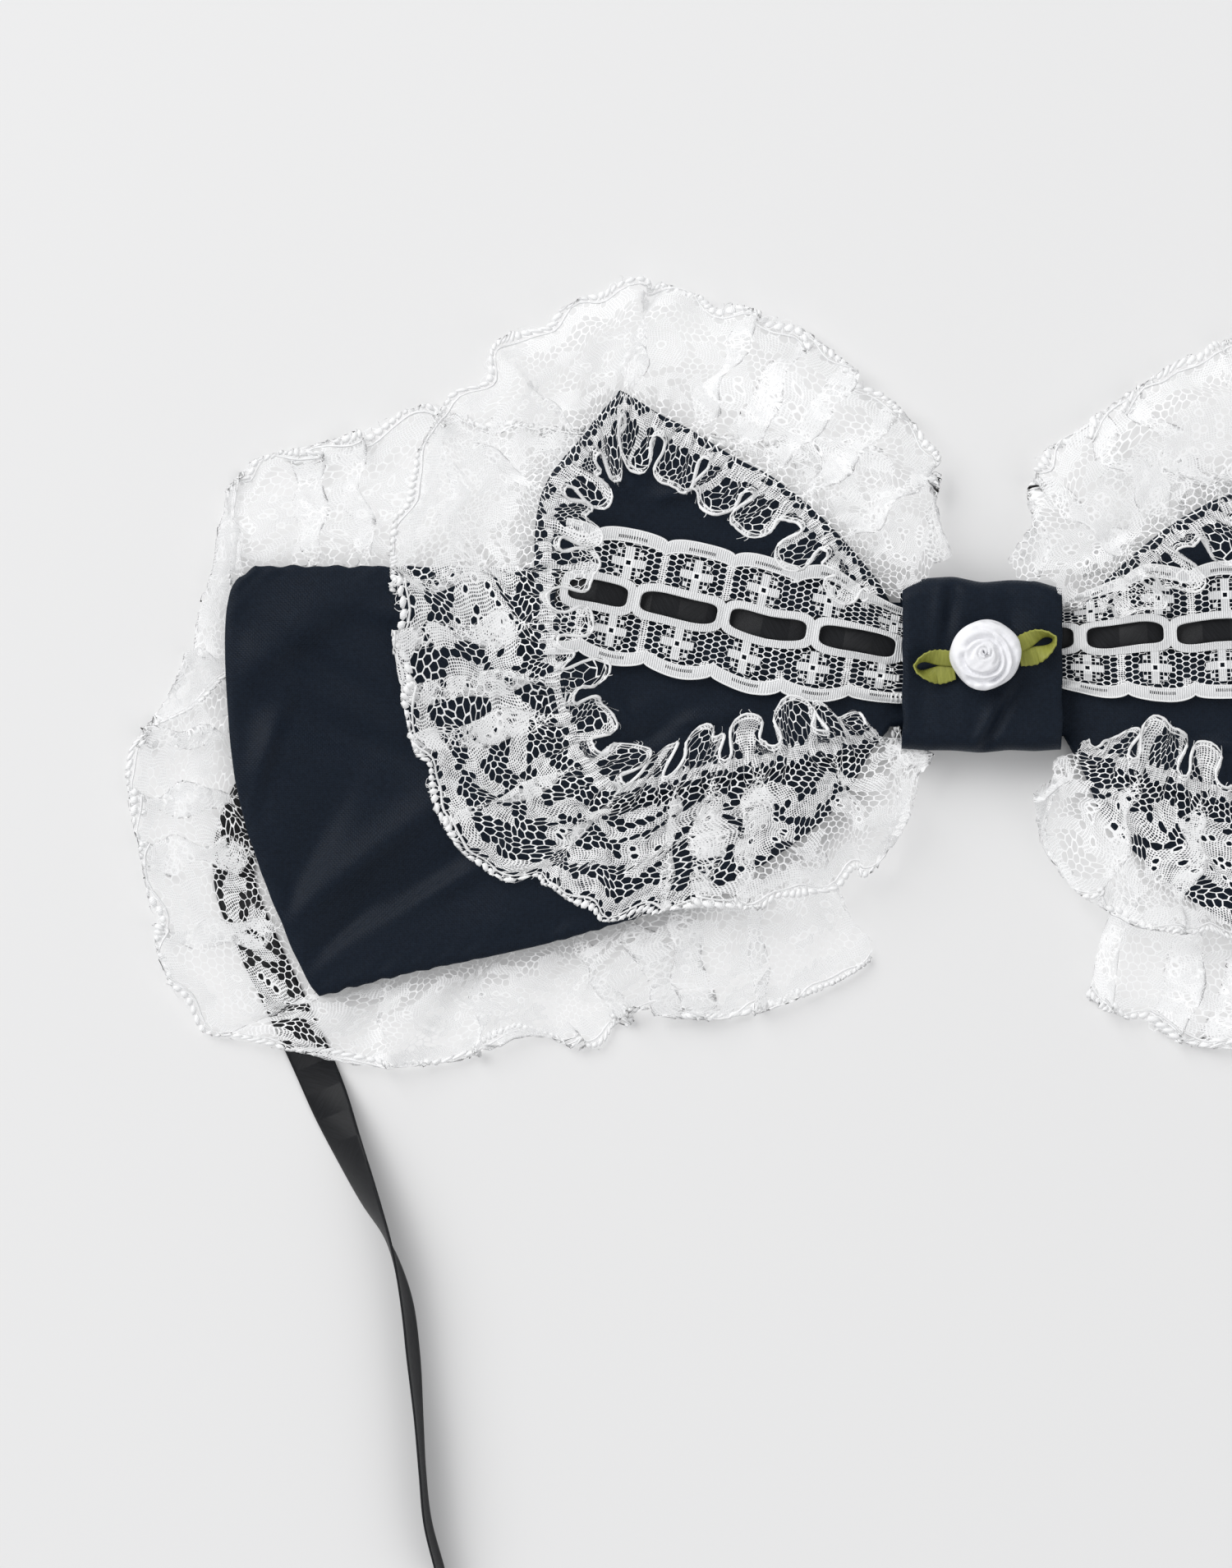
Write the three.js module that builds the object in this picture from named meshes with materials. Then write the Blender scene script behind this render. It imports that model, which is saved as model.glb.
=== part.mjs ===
// A ribbon headdress: a wide two-layer fabric bow with gathered lace round both layers, a ladder lace
// threaded with a ribbon across its front, a wrapped knot with a ribbon rose, and a tie at each end.
// It lies on its back. X runs along it, Y to its upper edge, Z up from the table. Millimetres.
// The origin is the middle of the knot's flat back.
import * as THREE from 'three';

const { clamp, degToRad, lerp, smoothstep } = THREE.MathUtils;
const sides = { left: -1, right: 1 };

// Knot
const knotWidth = 34.7;
const knotHeight = 38.5;
const knotDepth = 11.2;
const knotWall = 1.3;
const knotCorner = 3.6;

// Fabric panels
const baseLength = 147;
const baseHeight = 94;
const bowLength = 80;
const bowHeight = 90;
const waistHeight = 27;
const waistReach = 2.5;
const panelThickness = 2;
const panelEdge = 1.2;
const fanLift = 2.1;
const fanLiftReach = 20;
const rightDroop = 6.5;

// Lace
const laceThickness = 1;
const baseFrillWidth = 32;
const bowFrillWidth = 33;
const headingWidth = 8;
const seamInset = 3;
const wavesPerRuffle = 21;
const stepsPerWave = 5;
const baseWave = 2.1;
const bowWave = 2.2;
const headingWave = 1.5;
const seamWave = 0.3;
const waveGrowth = 12;
const dropStart = 0.65;
const frillScallop = 0.05;
const headingScallop = 0.2;

// Ladder lace and its ribbon
const ladderWidth = 28;
const ladderPitch = 19.44;
const ladderShift = 2;
const ladderReach = 75.5;
const slotLength = 16.6;
const slotHeight = 5.6;
const slotRound = 2.2;
const ladderScallop = 1.2;
const ladderMargin = 6;
const insertionWidth = 7;
const ribbonThickness = 1;

// Ties
const tieWidth = 9;
const tieThickness = 1;

// Rose and leaves
const roseDiameter = 15.7;
const roseHeight = 6.5;
const roseEye = 4;
const roseTurns = 3.1;
const roseRoll = 1;
const roseWall = 1;
const roseX = 0.5;
const roseY = 1.8;
const leafReach = 16.2;
const leafWidth = 6.6;
const leafWall = 1;
const leafRibbon = 3.4;
const leafTurn = 11;
const leafLean = 40;
const leafTaper = 0.75;

const pieceGap = 0.3;

// Heights of the stacked layers at the waist, from the knot's back wall up
const baseLow = knotWall + pieceGap;
const baseTop = baseLow + panelThickness;
const bowLow = baseTop + pieceGap;
const bowTop = bowLow + panelThickness;
const insertionLow = bowTop + pieceGap;
const insertionTop = insertionLow + ribbonThickness;
const ladderLow = insertionTop + pieceGap;
const ladderTop = ladderLow + laceThickness;

// Outlines of one fan: out and up are shares of the panel's own length and height.
const baseOutline = {
  length: baseLength,
  height: baseHeight,
  top: [
    { out: 0.04, up: 0.19 },
    { out: 0.3, up: 0.215 },
    { out: 0.7, up: 0.228 },
    { out: 0.96, up: 0.23 },
  ],
  outer: [
    { out: 0.96, up: 0.23 },
    { out: 0.995, up: 0.18 },
    { out: 1, up: -0.13 },
    { out: 0.975, up: -0.37 },
    { out: 0.88, up: -0.74 },
    { out: 0.865, up: -0.77 },
  ],
  bottom: [
    { out: 0.05, up: -0.215 },
    { out: 0.09, up: -0.32 },
    { out: 0.235, up: -0.49 },
    { out: 0.485, up: -0.63 },
    { out: 0.755, up: -0.725 },
    { out: 0.865, up: -0.77 },
  ],
};
const bowOutline = {
  length: bowLength,
  height: bowHeight,
  top: [
    { out: 0.07, up: 0.21 },
    { out: 0.26, up: 0.395 },
    { out: 0.475, up: 0.515 },
    { out: 0.77, up: 0.665 },
  ],
  outer: [
    { out: 0.77, up: 0.665 },
    { out: 0.865, up: 0.56 },
    { out: 0.98, up: 0.42 },
    { out: 1, up: 0.14 },
    { out: 0.97, up: -0.08 },
    { out: 0.9, up: -0.25 },
    { out: 0.8, up: -0.34 },
  ],
  bottom: [
    { out: 0.08, up: -0.2 },
    { out: 0.3, up: -0.245 },
    { out: 0.55, up: -0.29 },
    { out: 0.8, up: -0.34 },
  ],
};

// Columns of each frill: along is the share of its seam, reach a share of the frill's width, and lean
// the direction in degrees from straight up, turning outward. The bow frill's drop says how far its
// free edge sinks from the layers below it (0) to the table (1).
const baseFrill = [
  { along: 0.03, reach: 1.03, lean: 0 },
  { along: 0.2, reach: 1.08, lean: 3 },
  { along: 0.27, reach: 1.2, lean: 7 },
  { along: 0.32, reach: 0.97, lean: 7 },
  { along: 0.365, reach: 0.85, lean: 8 },
  { along: 0.4, reach: 0.41, lean: 24 },
  { along: 0.425, reach: 0.33, lean: 70 },
  { along: 0.45, reach: 0.52, lean: 88 },
  { along: 0.48, reach: 0.83, lean: 92 },
  { along: 0.54, reach: 0.88, lean: 94 },
  { along: 0.6, reach: 1, lean: 100 },
  { along: 0.635, reach: 0.9, lean: 117 },
  { along: 0.65, reach: 0.72, lean: 140 },
  { along: 0.67, reach: 0.74, lean: 172 },
  { along: 0.7, reach: 0.74, lean: 192 },
  { along: 0.73, reach: 0.56, lean: 202 },
  { along: 0.76, reach: 0.86, lean: 197 },
  { along: 0.79, reach: 0.65, lean: 198 },
  { along: 0.85, reach: 0.96, lean: 193 },
  { along: 0.93, reach: 1.14, lean: 195 },
];
const bowFrill = [
  { along: 0.03, reach: 0.64, lean: -57, drop: 0.4 },
  { along: 0.09, reach: 0.95, lean: -53, drop: 0.6 },
  { along: 0.16, reach: 1, lean: -43, drop: 0.8 },
  { along: 0.22, reach: 1.07, lean: -32, drop: 0.9 },
  { along: 0.28, reach: 0.93, lean: -20, drop: 0.9 },
  { along: 0.32, reach: 0.89, lean: -4, drop: 0.9 },
  { along: 0.35, reach: 0.86, lean: 18, drop: 0.7 },
  { along: 0.38, reach: 0.96, lean: 39, drop: 0.3 },
  { along: 0.43, reach: 0.94, lean: 64, drop: 0 },
  { along: 0.48, reach: 1.05, lean: 85, drop: 0 },
  { along: 0.58, reach: 1.04, lean: 98, drop: 0 },
  { along: 0.66, reach: 1.02, lean: 109, drop: 0 },
  { along: 0.71, reach: 1.03, lean: 120, drop: 0 },
  { along: 0.75, reach: 0.86, lean: 140, drop: 0 },
  { along: 0.78, reach: 1.03, lean: 158, drop: 0 },
  { along: 0.82, reach: 0.94, lean: 170, drop: 0 },
  { along: 0.86, reach: 0.98, lean: 177, drop: 0 },
  { along: 0.9, reach: 1.03, lean: 186, drop: 0 },
  { along: 0.94, reach: 0.92, lean: 196, drop: 0.3 },
  { along: 0.96, reach: 0.7, lean: 212, drop: 0.5 },
  { along: 0.975, reach: 0.48, lean: 230, drop: 0.5 },
];

// Soft dents of a panel: centre and size as shares of its length and height, heading in degrees.
const baseDents = [
  { out: 0.82, up: -0.18, long: 0.17, wide: 0.045, heading: 20, depth: 0.55 },
  { out: 0.72, up: -0.52, long: 0.15, wide: 0.04, heading: -30, depth: 0.6 },
  { out: 0.88, up: -0.46, long: 0.12, wide: 0.04, heading: -62, depth: 0.45 },
];
const bowDents = [
  { out: 0.42, up: -0.06, long: 0.2, wide: 0.035, heading: 3, depth: 0.5 },
  { out: 0.78, up: -0.05, long: 0.1, wide: 0.04, heading: 55, depth: 0.5 },
];

// Course of the ladder lace from the knot outwards: shares of the bow panel's length and height.
const ladderCourse = [
  { out: 0, left: 0.04, right: 0.064 },
  { out: 0.35, left: 0.09, right: 0.078 },
  { out: 0.75, left: 0.163, right: 0.094 },
  { out: 1, left: 0.2, right: 0.1 },
];

// Upper and lower edge of the knot, as shares of half its height, at shares of half its width
const knotEdges = [
  { at: -1, top: 0.88, bottom: 0.95 },
  { at: -0.72, top: 0.98, bottom: 0.97 },
  { at: -0.35, top: 1, bottom: 0.97 },
  { at: 0, top: 0.93, bottom: 1 },
  { at: 0.35, top: 0.96, bottom: 0.965 },
  { at: 0.68, top: 0.95, bottom: 0.98 },
  { at: 1, top: 0.86, bottom: 0.96 },
];
const knotCreases = [
  { x: 2.5, y: -13, heading: 60, long: 8, wide: 1.8, depth: 0.8 },
  { x: -7, y: 12, heading: 80, long: 6, wide: 1.8, depth: 0.5 },
];

// Route of the left tie, from under the panel to its free end: millimetres outward from the knot's
// edge and up from its middle, with the ribbon's roll about its own length in degrees.
const tieRoute = [
  { out: 141, up: -26, roll: 0 },
  { out: 145.5, up: -37, roll: 0 },
  { out: 145.8, up: -48, roll: 0 },
  { out: 140.9, up: -61, roll: 0 },
  { out: 134.5, up: -74.5, roll: 0 },
  { out: 127.3, up: -90.2, roll: 0 },
  { out: 121.8, up: -103.5, roll: 38 },
  { out: 116, up: -117, roll: 62 },
  { out: 111.4, up: -127, roll: 88 },
  { out: 108.2, up: -138.6, roll: 104 },
  { out: 106.6, up: -151.2, roll: 106 },
  { out: 105.5, up: -163.8, roll: 99 },
  { out: 104.6, up: -176.4, roll: 95 },
  { out: 103.5, up: -187.2, roll: 97 },
  { out: 100.8, up: -197.8, roll: 99 },
  { out: 100.2, up: -200.4, roll: 99 },
];

// Finishes
const blackCotton = { color: 0x141b25, roughness: 0.92, metalness: 0 };
const whiteLace = { color: 0xf0f1f2, roughness: 0.85, metalness: 0 };
const blackSatin = { color: 0x292b2f, roughness: 0.42, metalness: 0 };
const whiteSatin = { color: 0xf7f7fa, roughness: 0.5, metalness: 0 };
const greenSatin = { color: 0x969a45, roughness: 0.5, metalness: 0 };

const headdress = new THREE.Group();

function addPiece(name, geometry, finish) {
  const piece = new THREE.Mesh(geometry, new THREE.MeshStandardMaterial(finish));
  piece.name = name;
  headdress.add(piece);
}

// Six times the volume that an indexed closed mesh holds, negative when its faces point inwards
function signedVolume(positions, triangles) {
  const [a, b, c] = [new THREE.Vector3(), new THREE.Vector3(), new THREE.Vector3()];
  let volume = 0;
  for (let k = 0; k < triangles.length; k += 3) {
    a.fromArray(positions, 3 * triangles[k]);
    b.fromArray(positions, 3 * triangles[k + 1]);
    c.fromArray(positions, 3 * triangles[k + 2]);
    volume += a.dot(b.cross(c));
  }
  return volume;
}

// A closed wall between two skins on one grid. A cell that isOpen names is a hole through the wall,
// and a ring's last row of cells meets its first.
function wallBetween(columns, rows, front, back, { isOpen = () => false, ring = false } = {}) {
  const rowPoints = ring ? rows : rows + 1;
  const skinPoints = (columns + 1) * rowPoints;
  const positions = [];
  for (const skin of [front, back]) {
    for (let i = 0; i <= columns; i += 1) {
      for (let j = 0; j < rowPoints; j += 1) positions.push(...skin(i, j).toArray());
    }
  }
  const point = (i, j) => i * rowPoints + (j % rowPoints);
  const triangles = [];
  const quad = (a, b, c, d) => triangles.push(a, b, c, a, c, d);
  const isSolid = (i, j) => {
    const row = ring ? (j + rows) % rows : j;
    return i >= 0 && i < columns && row >= 0 && row < rows && !isOpen(i, row);
  };
  const rim = (a, b) => quad(b, a, a + skinPoints, b + skinPoints);
  for (let i = 0; i < columns; i += 1) {
    for (let j = 0; j < rows; j += 1) {
      if (!isSolid(i, j)) continue;
      const [a, b, c, d] = [point(i, j), point(i + 1, j), point(i + 1, j + 1), point(i, j + 1)];
      quad(a, b, c, d);
      quad(d + skinPoints, c + skinPoints, b + skinPoints, a + skinPoints);
      if (!isSolid(i, j - 1)) rim(a, b);
      if (!isSolid(i + 1, j)) rim(b, c);
      if (!isSolid(i, j + 1)) rim(c, d);
      if (!isSolid(i - 1, j)) rim(d, a);
    }
  }
  if (signedVolume(positions, triangles) < 0) triangles.reverse();
  const geometry = new THREE.BufferGeometry();
  geometry.setAttribute('position', new THREE.Float32BufferAttribute(positions, 3));
  geometry.setIndex(triangles);
  geometry.computeVertexNormals();
  return geometry;
}

// A wall of even thickness about a middle surface
function sheetWall(columns, rows, middle, thickness, options) {
  const points = [];
  for (let i = 0; i <= columns; i += 1) {
    points.push([]);
    for (let j = 0; j <= rows; j += 1) points[i].push(middle(i, j));
  }
  const skin = (share) => (i, j) => {
    const along = points[Math.min(i + 1, columns)][j].clone().sub(points[Math.max(i - 1, 0)][j]);
    const across = points[i][Math.min(j + 1, rows)].clone().sub(points[i][Math.max(j - 1, 0)]);
    const normal = along.cross(across).normalize();
    return points[i][j].clone().addScaledVector(normal, share * thickness);
  };
  return wallBetween(columns, rows, skin(0.5), skin(-0.5), options);
}

// A value of a table at a place between its rows
function tableValue(table, key, at, column) {
  const next = table.findIndex((row) => row[key] >= at);
  if (next < 0) return table[table.length - 1][column];
  if (next === 0) return table[0][column];
  const [from, to] = [table[next - 1], table[next]];
  return lerp(from[column], to[column], (at - from[key]) / (to[key] - from[key]));
}

// A place on a wing, out from the knot's edge. The right wing hangs a little lower than the left.
function onWing(side, out, up, height) {
  const x = side * (knotWidth / 2 + out);
  const droop = side > 0 ? degToRad(rightDroop) * smoothstep(out, -knotWidth / 2, 0) : 0;
  return new THREE.Vector3(
    x * Math.cos(droop) + up * Math.sin(droop),
    up * Math.cos(droop) - x * Math.sin(droop),
    height,
  );
}

// How far the layers rise from the waist to the fans
function liftAt(out) {
  return fanLift * smoothstep(out, 0, fanLiftReach);
}

function outlineCurve(outline, rows, fromWaist) {
  const points = rows.map(({ out, up }) => new THREE.Vector3(out * outline.length, up * outline.height, 0));
  if (fromWaist) points.unshift(new THREE.Vector3(waistReach, fromWaist * waistHeight / 2, 0));
  return new THREE.CatmullRomCurve3(points, false, 'centripetal');
}

// The three free edges of a fan, as curves of out and up
function fanEdges(outline) {
  return {
    top: outlineCurve(outline, outline.top, 1),
    outer: outlineCurve(outline, outline.outer, 0),
    bottom: outlineCurve(outline, outline.bottom, -1),
  };
}

// A point of a fan: along runs from the waist to the outer edge, across from the lower to the upper.
function fanPoint(edges, along, across) {
  const top = edges.top.getPointAt(along);
  const bottom = edges.bottom.getPointAt(along);
  const outer = edges.outer.getPointAt(1 - across);
  const waist = new THREE.Vector3(waistReach, lerp(-waistHeight / 2, waistHeight / 2, across), 0);
  const corners = {
    waistLow: new THREE.Vector3(waistReach, -waistHeight / 2, 0),
    waistHigh: new THREE.Vector3(waistReach, waistHeight / 2, 0),
    outerLow: edges.outer.getPointAt(1),
    outerHigh: edges.outer.getPointAt(0),
  };
  return new THREE.Vector3()
    .addScaledVector(bottom, 1 - across)
    .addScaledVector(top, across)
    .addScaledVector(waist, 1 - along)
    .addScaledVector(outer, along)
    .addScaledVector(corners.waistLow, -(1 - along) * (1 - across))
    .addScaledVector(corners.waistHigh, -(1 - along) * across)
    .addScaledVector(corners.outerLow, -along * (1 - across))
    .addScaledVector(corners.outerHigh, -along * across);
}

// How deep the dents of a panel are at a place, with the distance measured along and across each one
function dentDepth(outline, dents, out, up) {
  let depth = 0;
  for (const dent of dents) {
    const outward = out - dent.out * outline.length;
    const upward = up - dent.up * outline.height;
    const heading = degToRad(dent.heading);
    const along = outward * Math.cos(heading) + upward * Math.sin(heading);
    const across = upward * Math.cos(heading) - outward * Math.sin(heading);
    const spread = (along / (dent.long * outline.length)) ** 2 + (across / (dent.wide * outline.length)) ** 2;
    depth += dent.depth * Math.exp(-spread);
  }
  return depth;
}

// A padded panel of two fans and the waist between them, thinner along its sewn edge
function panel(outline, lowAtWaist, dents, fanColumns, rows) {
  const edges = fanEdges(outline);
  const columns = 2 * fanColumns + 2;
  const skin = (face) => (i, j) => {
    const side = i <= fanColumns ? sides.left : sides.right;
    const step = side === sides.left ? fanColumns - i : i - fanColumns - 2;
    const across = j / rows;
    const isWaist = step < 0;
    const along = clamp(step / fanColumns, 0, 1);
    const place = fanPoint(edges, along, across);
    const out = isWaist ? -knotWidth / 2 : place.x;
    const isEdge = j === 0 || j === rows || along === 1;
    const half = (isEdge ? panelEdge : panelThickness) / 2;
    const dent = isEdge || isWaist ? 0 : dentDepth(outline, dents, place.x, place.y);
    const middle = lowAtWaist + panelThickness / 2 + liftAt(out) - dent;
    return onWing(side, out, place.y, middle + face * half);
  };
  return wallBetween(columns, rows, skin(1), skin(-1));
}

// The seam of a ruffle: the edge of its panel, drawn in by the seam's inset, as lengths and points
function seamLine(outline) {
  const edges = fanEdges(outline);
  const samples = 60;
  const edge = [
    ...edges.top.getSpacedPoints(samples),
    ...edges.outer.getSpacedPoints(samples).slice(1),
    ...edges.bottom.getSpacedPoints(samples).reverse().slice(1),
  ];
  const reach = 4;
  const points = edge.map((point, k) => {
    const ahead = edge[Math.min(k + reach, edge.length - 1)];
    const behind = edge[Math.max(k - reach, 0)];
    const tangent = ahead.clone().sub(behind).normalize();
    return new THREE.Vector3(point.x + tangent.y * seamInset, point.y - tangent.x * seamInset, 0);
  });
  const lengths = [0];
  for (let k = 1; k < points.length; k += 1) {
    lengths.push(lengths[k - 1] + points[k].distanceTo(points[k - 1]));
  }
  return { points, lengths };
}

function seamPoint({ points, lengths }, along) {
  const length = along * lengths[lengths.length - 1];
  const next = clamp(lengths.findIndex((value) => value >= length), 1, points.length - 1);
  const share = (length - lengths[next - 1]) / (lengths[next] - lengths[next - 1]);
  return points[next - 1].clone().lerp(points[next], share);
}

// A ruffle's columns in order along its seam, each with its place, direction and place in its wave
function ruffleColumns(outline, frill) {
  const seam = seamLine(outline);
  const count = wavesPerRuffle * stepsPerWave;
  const [first, last] = [frill[0].along, frill[frill.length - 1].along];
  const columns = [];
  for (let i = 0; i <= count; i += 1) {
    const along = lerp(first, last, i / count);
    const lean = degToRad(tableValue(frill, 'along', along, 'lean'));
    columns.push({
      along,
      seam: seamPoint(seam, along),
      reach: tableValue(frill, 'along', along, 'reach'),
      direction: new THREE.Vector3(Math.sin(lean), Math.cos(lean), 0),
      wave: Math.cos((2 * Math.PI * (i + 0.5)) / stepsPerWave),
    });
  }
  return columns;
}

// The ruffle behind the base panel: flat under the panel's edge, waving beyond it, and lifted where
// the tie runs beneath it
function baseRuffle(side) {
  const columns = ruffleColumns(baseOutline, baseFrill);
  const shares = [0, 0.33, 0.67, 1];
  const middle = (i, j) => {
    const { seam, reach, direction, wave } = columns[i];
    const scallop = 1 + frillScallop * wave * shares[j];
    const distance = reach * baseFrillWidth * shares[j] * scallop;
    const place = seam.clone().addScaledVector(direction, distance);
    const free = smoothstep(distance, seamInset + 1, seamInset + waveGrowth);
    const seamHeight = baseLow + liftAt(seam.x) - pieceGap - laceThickness / 2 - seamWave;
    const overTie = tieCover(place) * (tieThickness + pieceGap);
    const freeWave = baseWave - overTie / 2;
    const freeHeight = laceThickness / 2 + freeWave + overTie;
    const height = lerp(seamHeight, freeHeight, free) + wave * lerp(seamWave, freeWave, free);
    return onWing(side, place.x, place.y, height);
  };
  return sheetWall(columns.length - 1, shares.length - 1, middle, laceThickness);
}

// The ruffle on top of the bow panel: a ruched heading inside its seam and a wide frill outside it
function bowRuffle(side) {
  const columns = ruffleColumns(bowOutline, bowFrill);
  const shares = [-1, 0, 0.35, 0.7, 1];
  const layersTop = baseTop + fanLift + pieceGap;
  const middle = (i, j) => {
    const { along, seam, reach, direction, wave } = columns[i];
    const share = shares[j];
    const isHeading = share < 0;
    const width = isHeading ? headingWidth : reach * bowFrillWidth;
    const scallop = isHeading ? headingScallop : frillScallop;
    const distance = share * width * (1 + scallop * wave * Math.abs(share));
    const place = seam.clone().addScaledVector(direction, distance);
    const free = smoothstep(distance, seamInset, seamInset + waveGrowth);
    const ladder = ladderCover(side, place) * (ladderTop - bowTop);
    const sewnWave = isHeading ? headingWave : seamWave;
    const sewnHeight = bowTop + liftAt(place.x) + ladder + pieceGap + laceThickness / 2 + sewnWave;
    const sunk = tableValue(bowFrill, 'along', along, 'drop') * smoothstep(share, dropStart, 1);
    const freeHeight = lerp(layersTop, 0, sunk) + pieceGap + laceThickness / 2 + bowWave;
    const height = lerp(sewnHeight, freeHeight, free) + wave * lerp(sewnWave, bowWave, free);
    return onWing(side, place.x, place.y, height);
  };
  return sheetWall(columns.length - 1, shares.length - 1, middle, laceThickness);
}

// How much of a place on the base frill lies over the tie, from 0 to 1
function tieCover(place) {
  const nearest = Math.min(...tieRoute.map(({ out, up }) => Math.hypot(place.x - out, place.y - up)));
  return 1 - smoothstep(nearest, 1.3 * tieWidth, 2 * tieWidth);
}

// The ladder's middle line: its height at a distance along X from the knot's middle
function ladderLine(x) {
  const out = Math.max(Math.abs(x) - knotWidth / 2, 0) / bowLength;
  const column = x < 0 ? 'left' : 'right';
  const ends = [ladderCourse[0].left, ladderCourse[0].right];
  const underKnot = lerp(...ends, clamp(x / knotWidth + 0.5, 0, 1));
  return bowHeight * (out > 0 ? tableValue(ladderCourse, 'out', out, column) : underKnot);
}

// Upper and lower half width of the ladder lace, squeezed where the knot holds it
function ladderHalf(x, towards) {
  const free = smoothstep(Math.abs(x), knotWidth / 2, knotWidth / 2 + 0.25 * bowLength);
  return ladderWidth * lerp(towards > 0 ? 0.3 : 0.4, 0.5, free);
}

// How much of a place on a wing lies over the ladder lace, from 0 to 1
function ladderCover(side, place) {
  const { x, y } = onWing(side, place.x, place.y, 0);
  const above = y - ladderLine(x);
  const beyond = Math.abs(above) - ladderHalf(x, above) - ladderScallop;
  return 1 - smoothstep(beyond, ladderMargin, 1.5 * ladderMargin);
}

function ladderPoint(x, across, height) {
  const slope = Math.atan2(ladderLine(x + 1) - ladderLine(x - 1), 2);
  return new THREE.Vector3(
    x - across * Math.sin(slope),
    ladderLine(x) + across * Math.cos(slope),
    height + liftAt(Math.abs(x) - knotWidth / 2),
  );
}

// Stations along the ladder lace, each with its slot's half height, and whether a slot starts there
function ladderStations() {
  const end = knotWidth / 2 + ladderReach;
  const margin = ladderPitch - slotLength;
  const bars = Math.ceil(end / ladderPitch);
  const stations = [{ x: -end, half: slotHeight / 2, opens: false }];
  for (let bar = -bars; bar < bars; bar += 1) {
    const start = Math.max(ladderShift + bar * ladderPitch + margin / 2, margin - end);
    const stop = Math.min(ladderShift + (bar + 1) * ladderPitch - margin / 2, end - margin);
    if (stop - start < 3 * slotRound) continue;
    stations.push({ x: start, half: 0.3 * slotHeight, opens: true });
    stations.push({ x: start + slotRound, half: slotHeight / 2, opens: true });
    stations.push({ x: stop - slotRound, half: slotHeight / 2, opens: true });
    stations.push({ x: stop, half: 0.3 * slotHeight, opens: false });
  }
  stations.push({ x: end, half: slotHeight / 2, opens: false });
  return stations;
}

function ladderLace() {
  const stations = ladderStations();
  const skin = (height) => (i, j) => {
    const { x, half } = stations[i];
    const scallop = ladderScallop * Math.cos((2 * Math.PI * (x - ladderShift)) / ladderPitch - Math.PI);
    const across = [-ladderHalf(x, -1) - scallop, -half, half, ladderHalf(x, 1) + scallop];
    return ladderPoint(x, across[j], height);
  };
  const isOpen = (i, j) => j === 1 && stations[i].opens;
  return wallBetween(stations.length - 1, 3, skin(ladderTop), skin(ladderLow), { isOpen });
}

function insertionRibbon() {
  const steps = 26;
  const end = knotWidth / 2 + ladderReach - pieceGap;
  const skin = (height) => (i, j) => {
    const x = lerp(-end, end, i / steps);
    return ladderPoint(x, (j - 0.5) * insertionWidth, height);
  };
  return wallBetween(steps, 1, skin(insertionTop), skin(insertionLow));
}

// Points of the knot's section, from its upper back turn over the front and round to the lower one
function knotSection(low, high, back, front, corner) {
  const arcSteps = 3;
  const frontSteps = 6;
  const points = [];
  const arc = (y, z, start) => {
    for (let k = 0; k <= arcSteps; k += 1) {
      const angle = degToRad(start + (90 * k) / arcSteps);
      points.push(new THREE.Vector2(y + corner * Math.cos(angle), z + corner * Math.sin(angle)));
    }
  };
  arc(high - corner, back + corner, 270);
  arc(high - corner, front - corner, 0);
  for (let k = 1; k < frontSteps; k += 1) {
    points.push(new THREE.Vector2(lerp(high - corner, low + corner, k / frontSteps), front));
  }
  arc(low + corner, front - corner, 90);
  arc(low + corner, back + corner, 180);
  return points;
}

// How far the knot's front sinks into its creases
function knotCrease(x, y) {
  let depth = 0;
  for (const crease of knotCreases) {
    const heading = degToRad(crease.heading);
    const along = (x - crease.x) * Math.cos(heading) + (y - crease.y) * Math.sin(heading);
    const across = (y - crease.y) * Math.cos(heading) - (x - crease.x) * Math.sin(heading);
    depth += crease.depth * Math.exp(-((along / crease.long) ** 2) - (across / crease.wide) ** 2);
  }
  return depth;
}

// Sections of the knot across its width, drawn in from its outside by an inset
function knotSections(columns, inset) {
  const sections = [];
  for (let i = 0; i <= columns; i += 1) {
    const at = (2 * i) / columns - 1;
    const high = (knotHeight / 2) * tableValue(knotEdges, 'at', at, 'top') - inset;
    const low = inset - (knotHeight / 2) * tableValue(knotEdges, 'at', at, 'bottom');
    sections.push(knotSection(low, high, inset, knotDepth - inset, knotCorner - inset));
  }
  return sections;
}

// The band wrapped round both waists: flat behind, soft at its upper and lower turns
function knotBand() {
  const columns = 8;
  const skin = (inset) => {
    const sections = knotSections(columns, inset);
    const front = knotDepth - inset;
    return (i, j) => {
      const x = knotWidth * (i / columns - 0.5);
      const { x: y, y: z } = sections[i][j];
      const isFront = Math.abs(z - front) < pieceGap;
      return new THREE.Vector3(x, y, isFront ? z - knotCrease(x, y) : z);
    };
  };
  const rows = knotSections(columns, 0)[0].length;
  return wallBetween(columns, rows, skin(0), skin(knotWall), { ring: true });
}

// A ribbon wound into a rose: one wall from the eye outwards, its upper edge rolled out
function ribbonRose() {
  const steps = Math.round(12 * roseTurns);
  const rows = [
    { height: 0, roll: 0.7 },
    { height: 0.6, roll: 0 },
    { height: 1, roll: 0.55 },
  ];
  const low = knotDepth + pieceGap;
  const middle = (i, j) => {
    const along = i / steps;
    const angle = 2 * Math.PI * roseTurns * along;
    const outermost = (roseDiameter - roseWall) / 2 - roseRoll * rows[2].roll;
    const radius = lerp(roseEye / 2, outermost, along) + roseRoll * rows[j].roll;
    const height = low + roseHeight * rows[j].height * lerp(1, 0.8, along);
    return new THREE.Vector3(roseX + radius * Math.cos(angle), roseY + radius * Math.sin(angle), height);
  };
  return sheetWall(steps, rows.length - 1, middle, roseWall);
}

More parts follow.
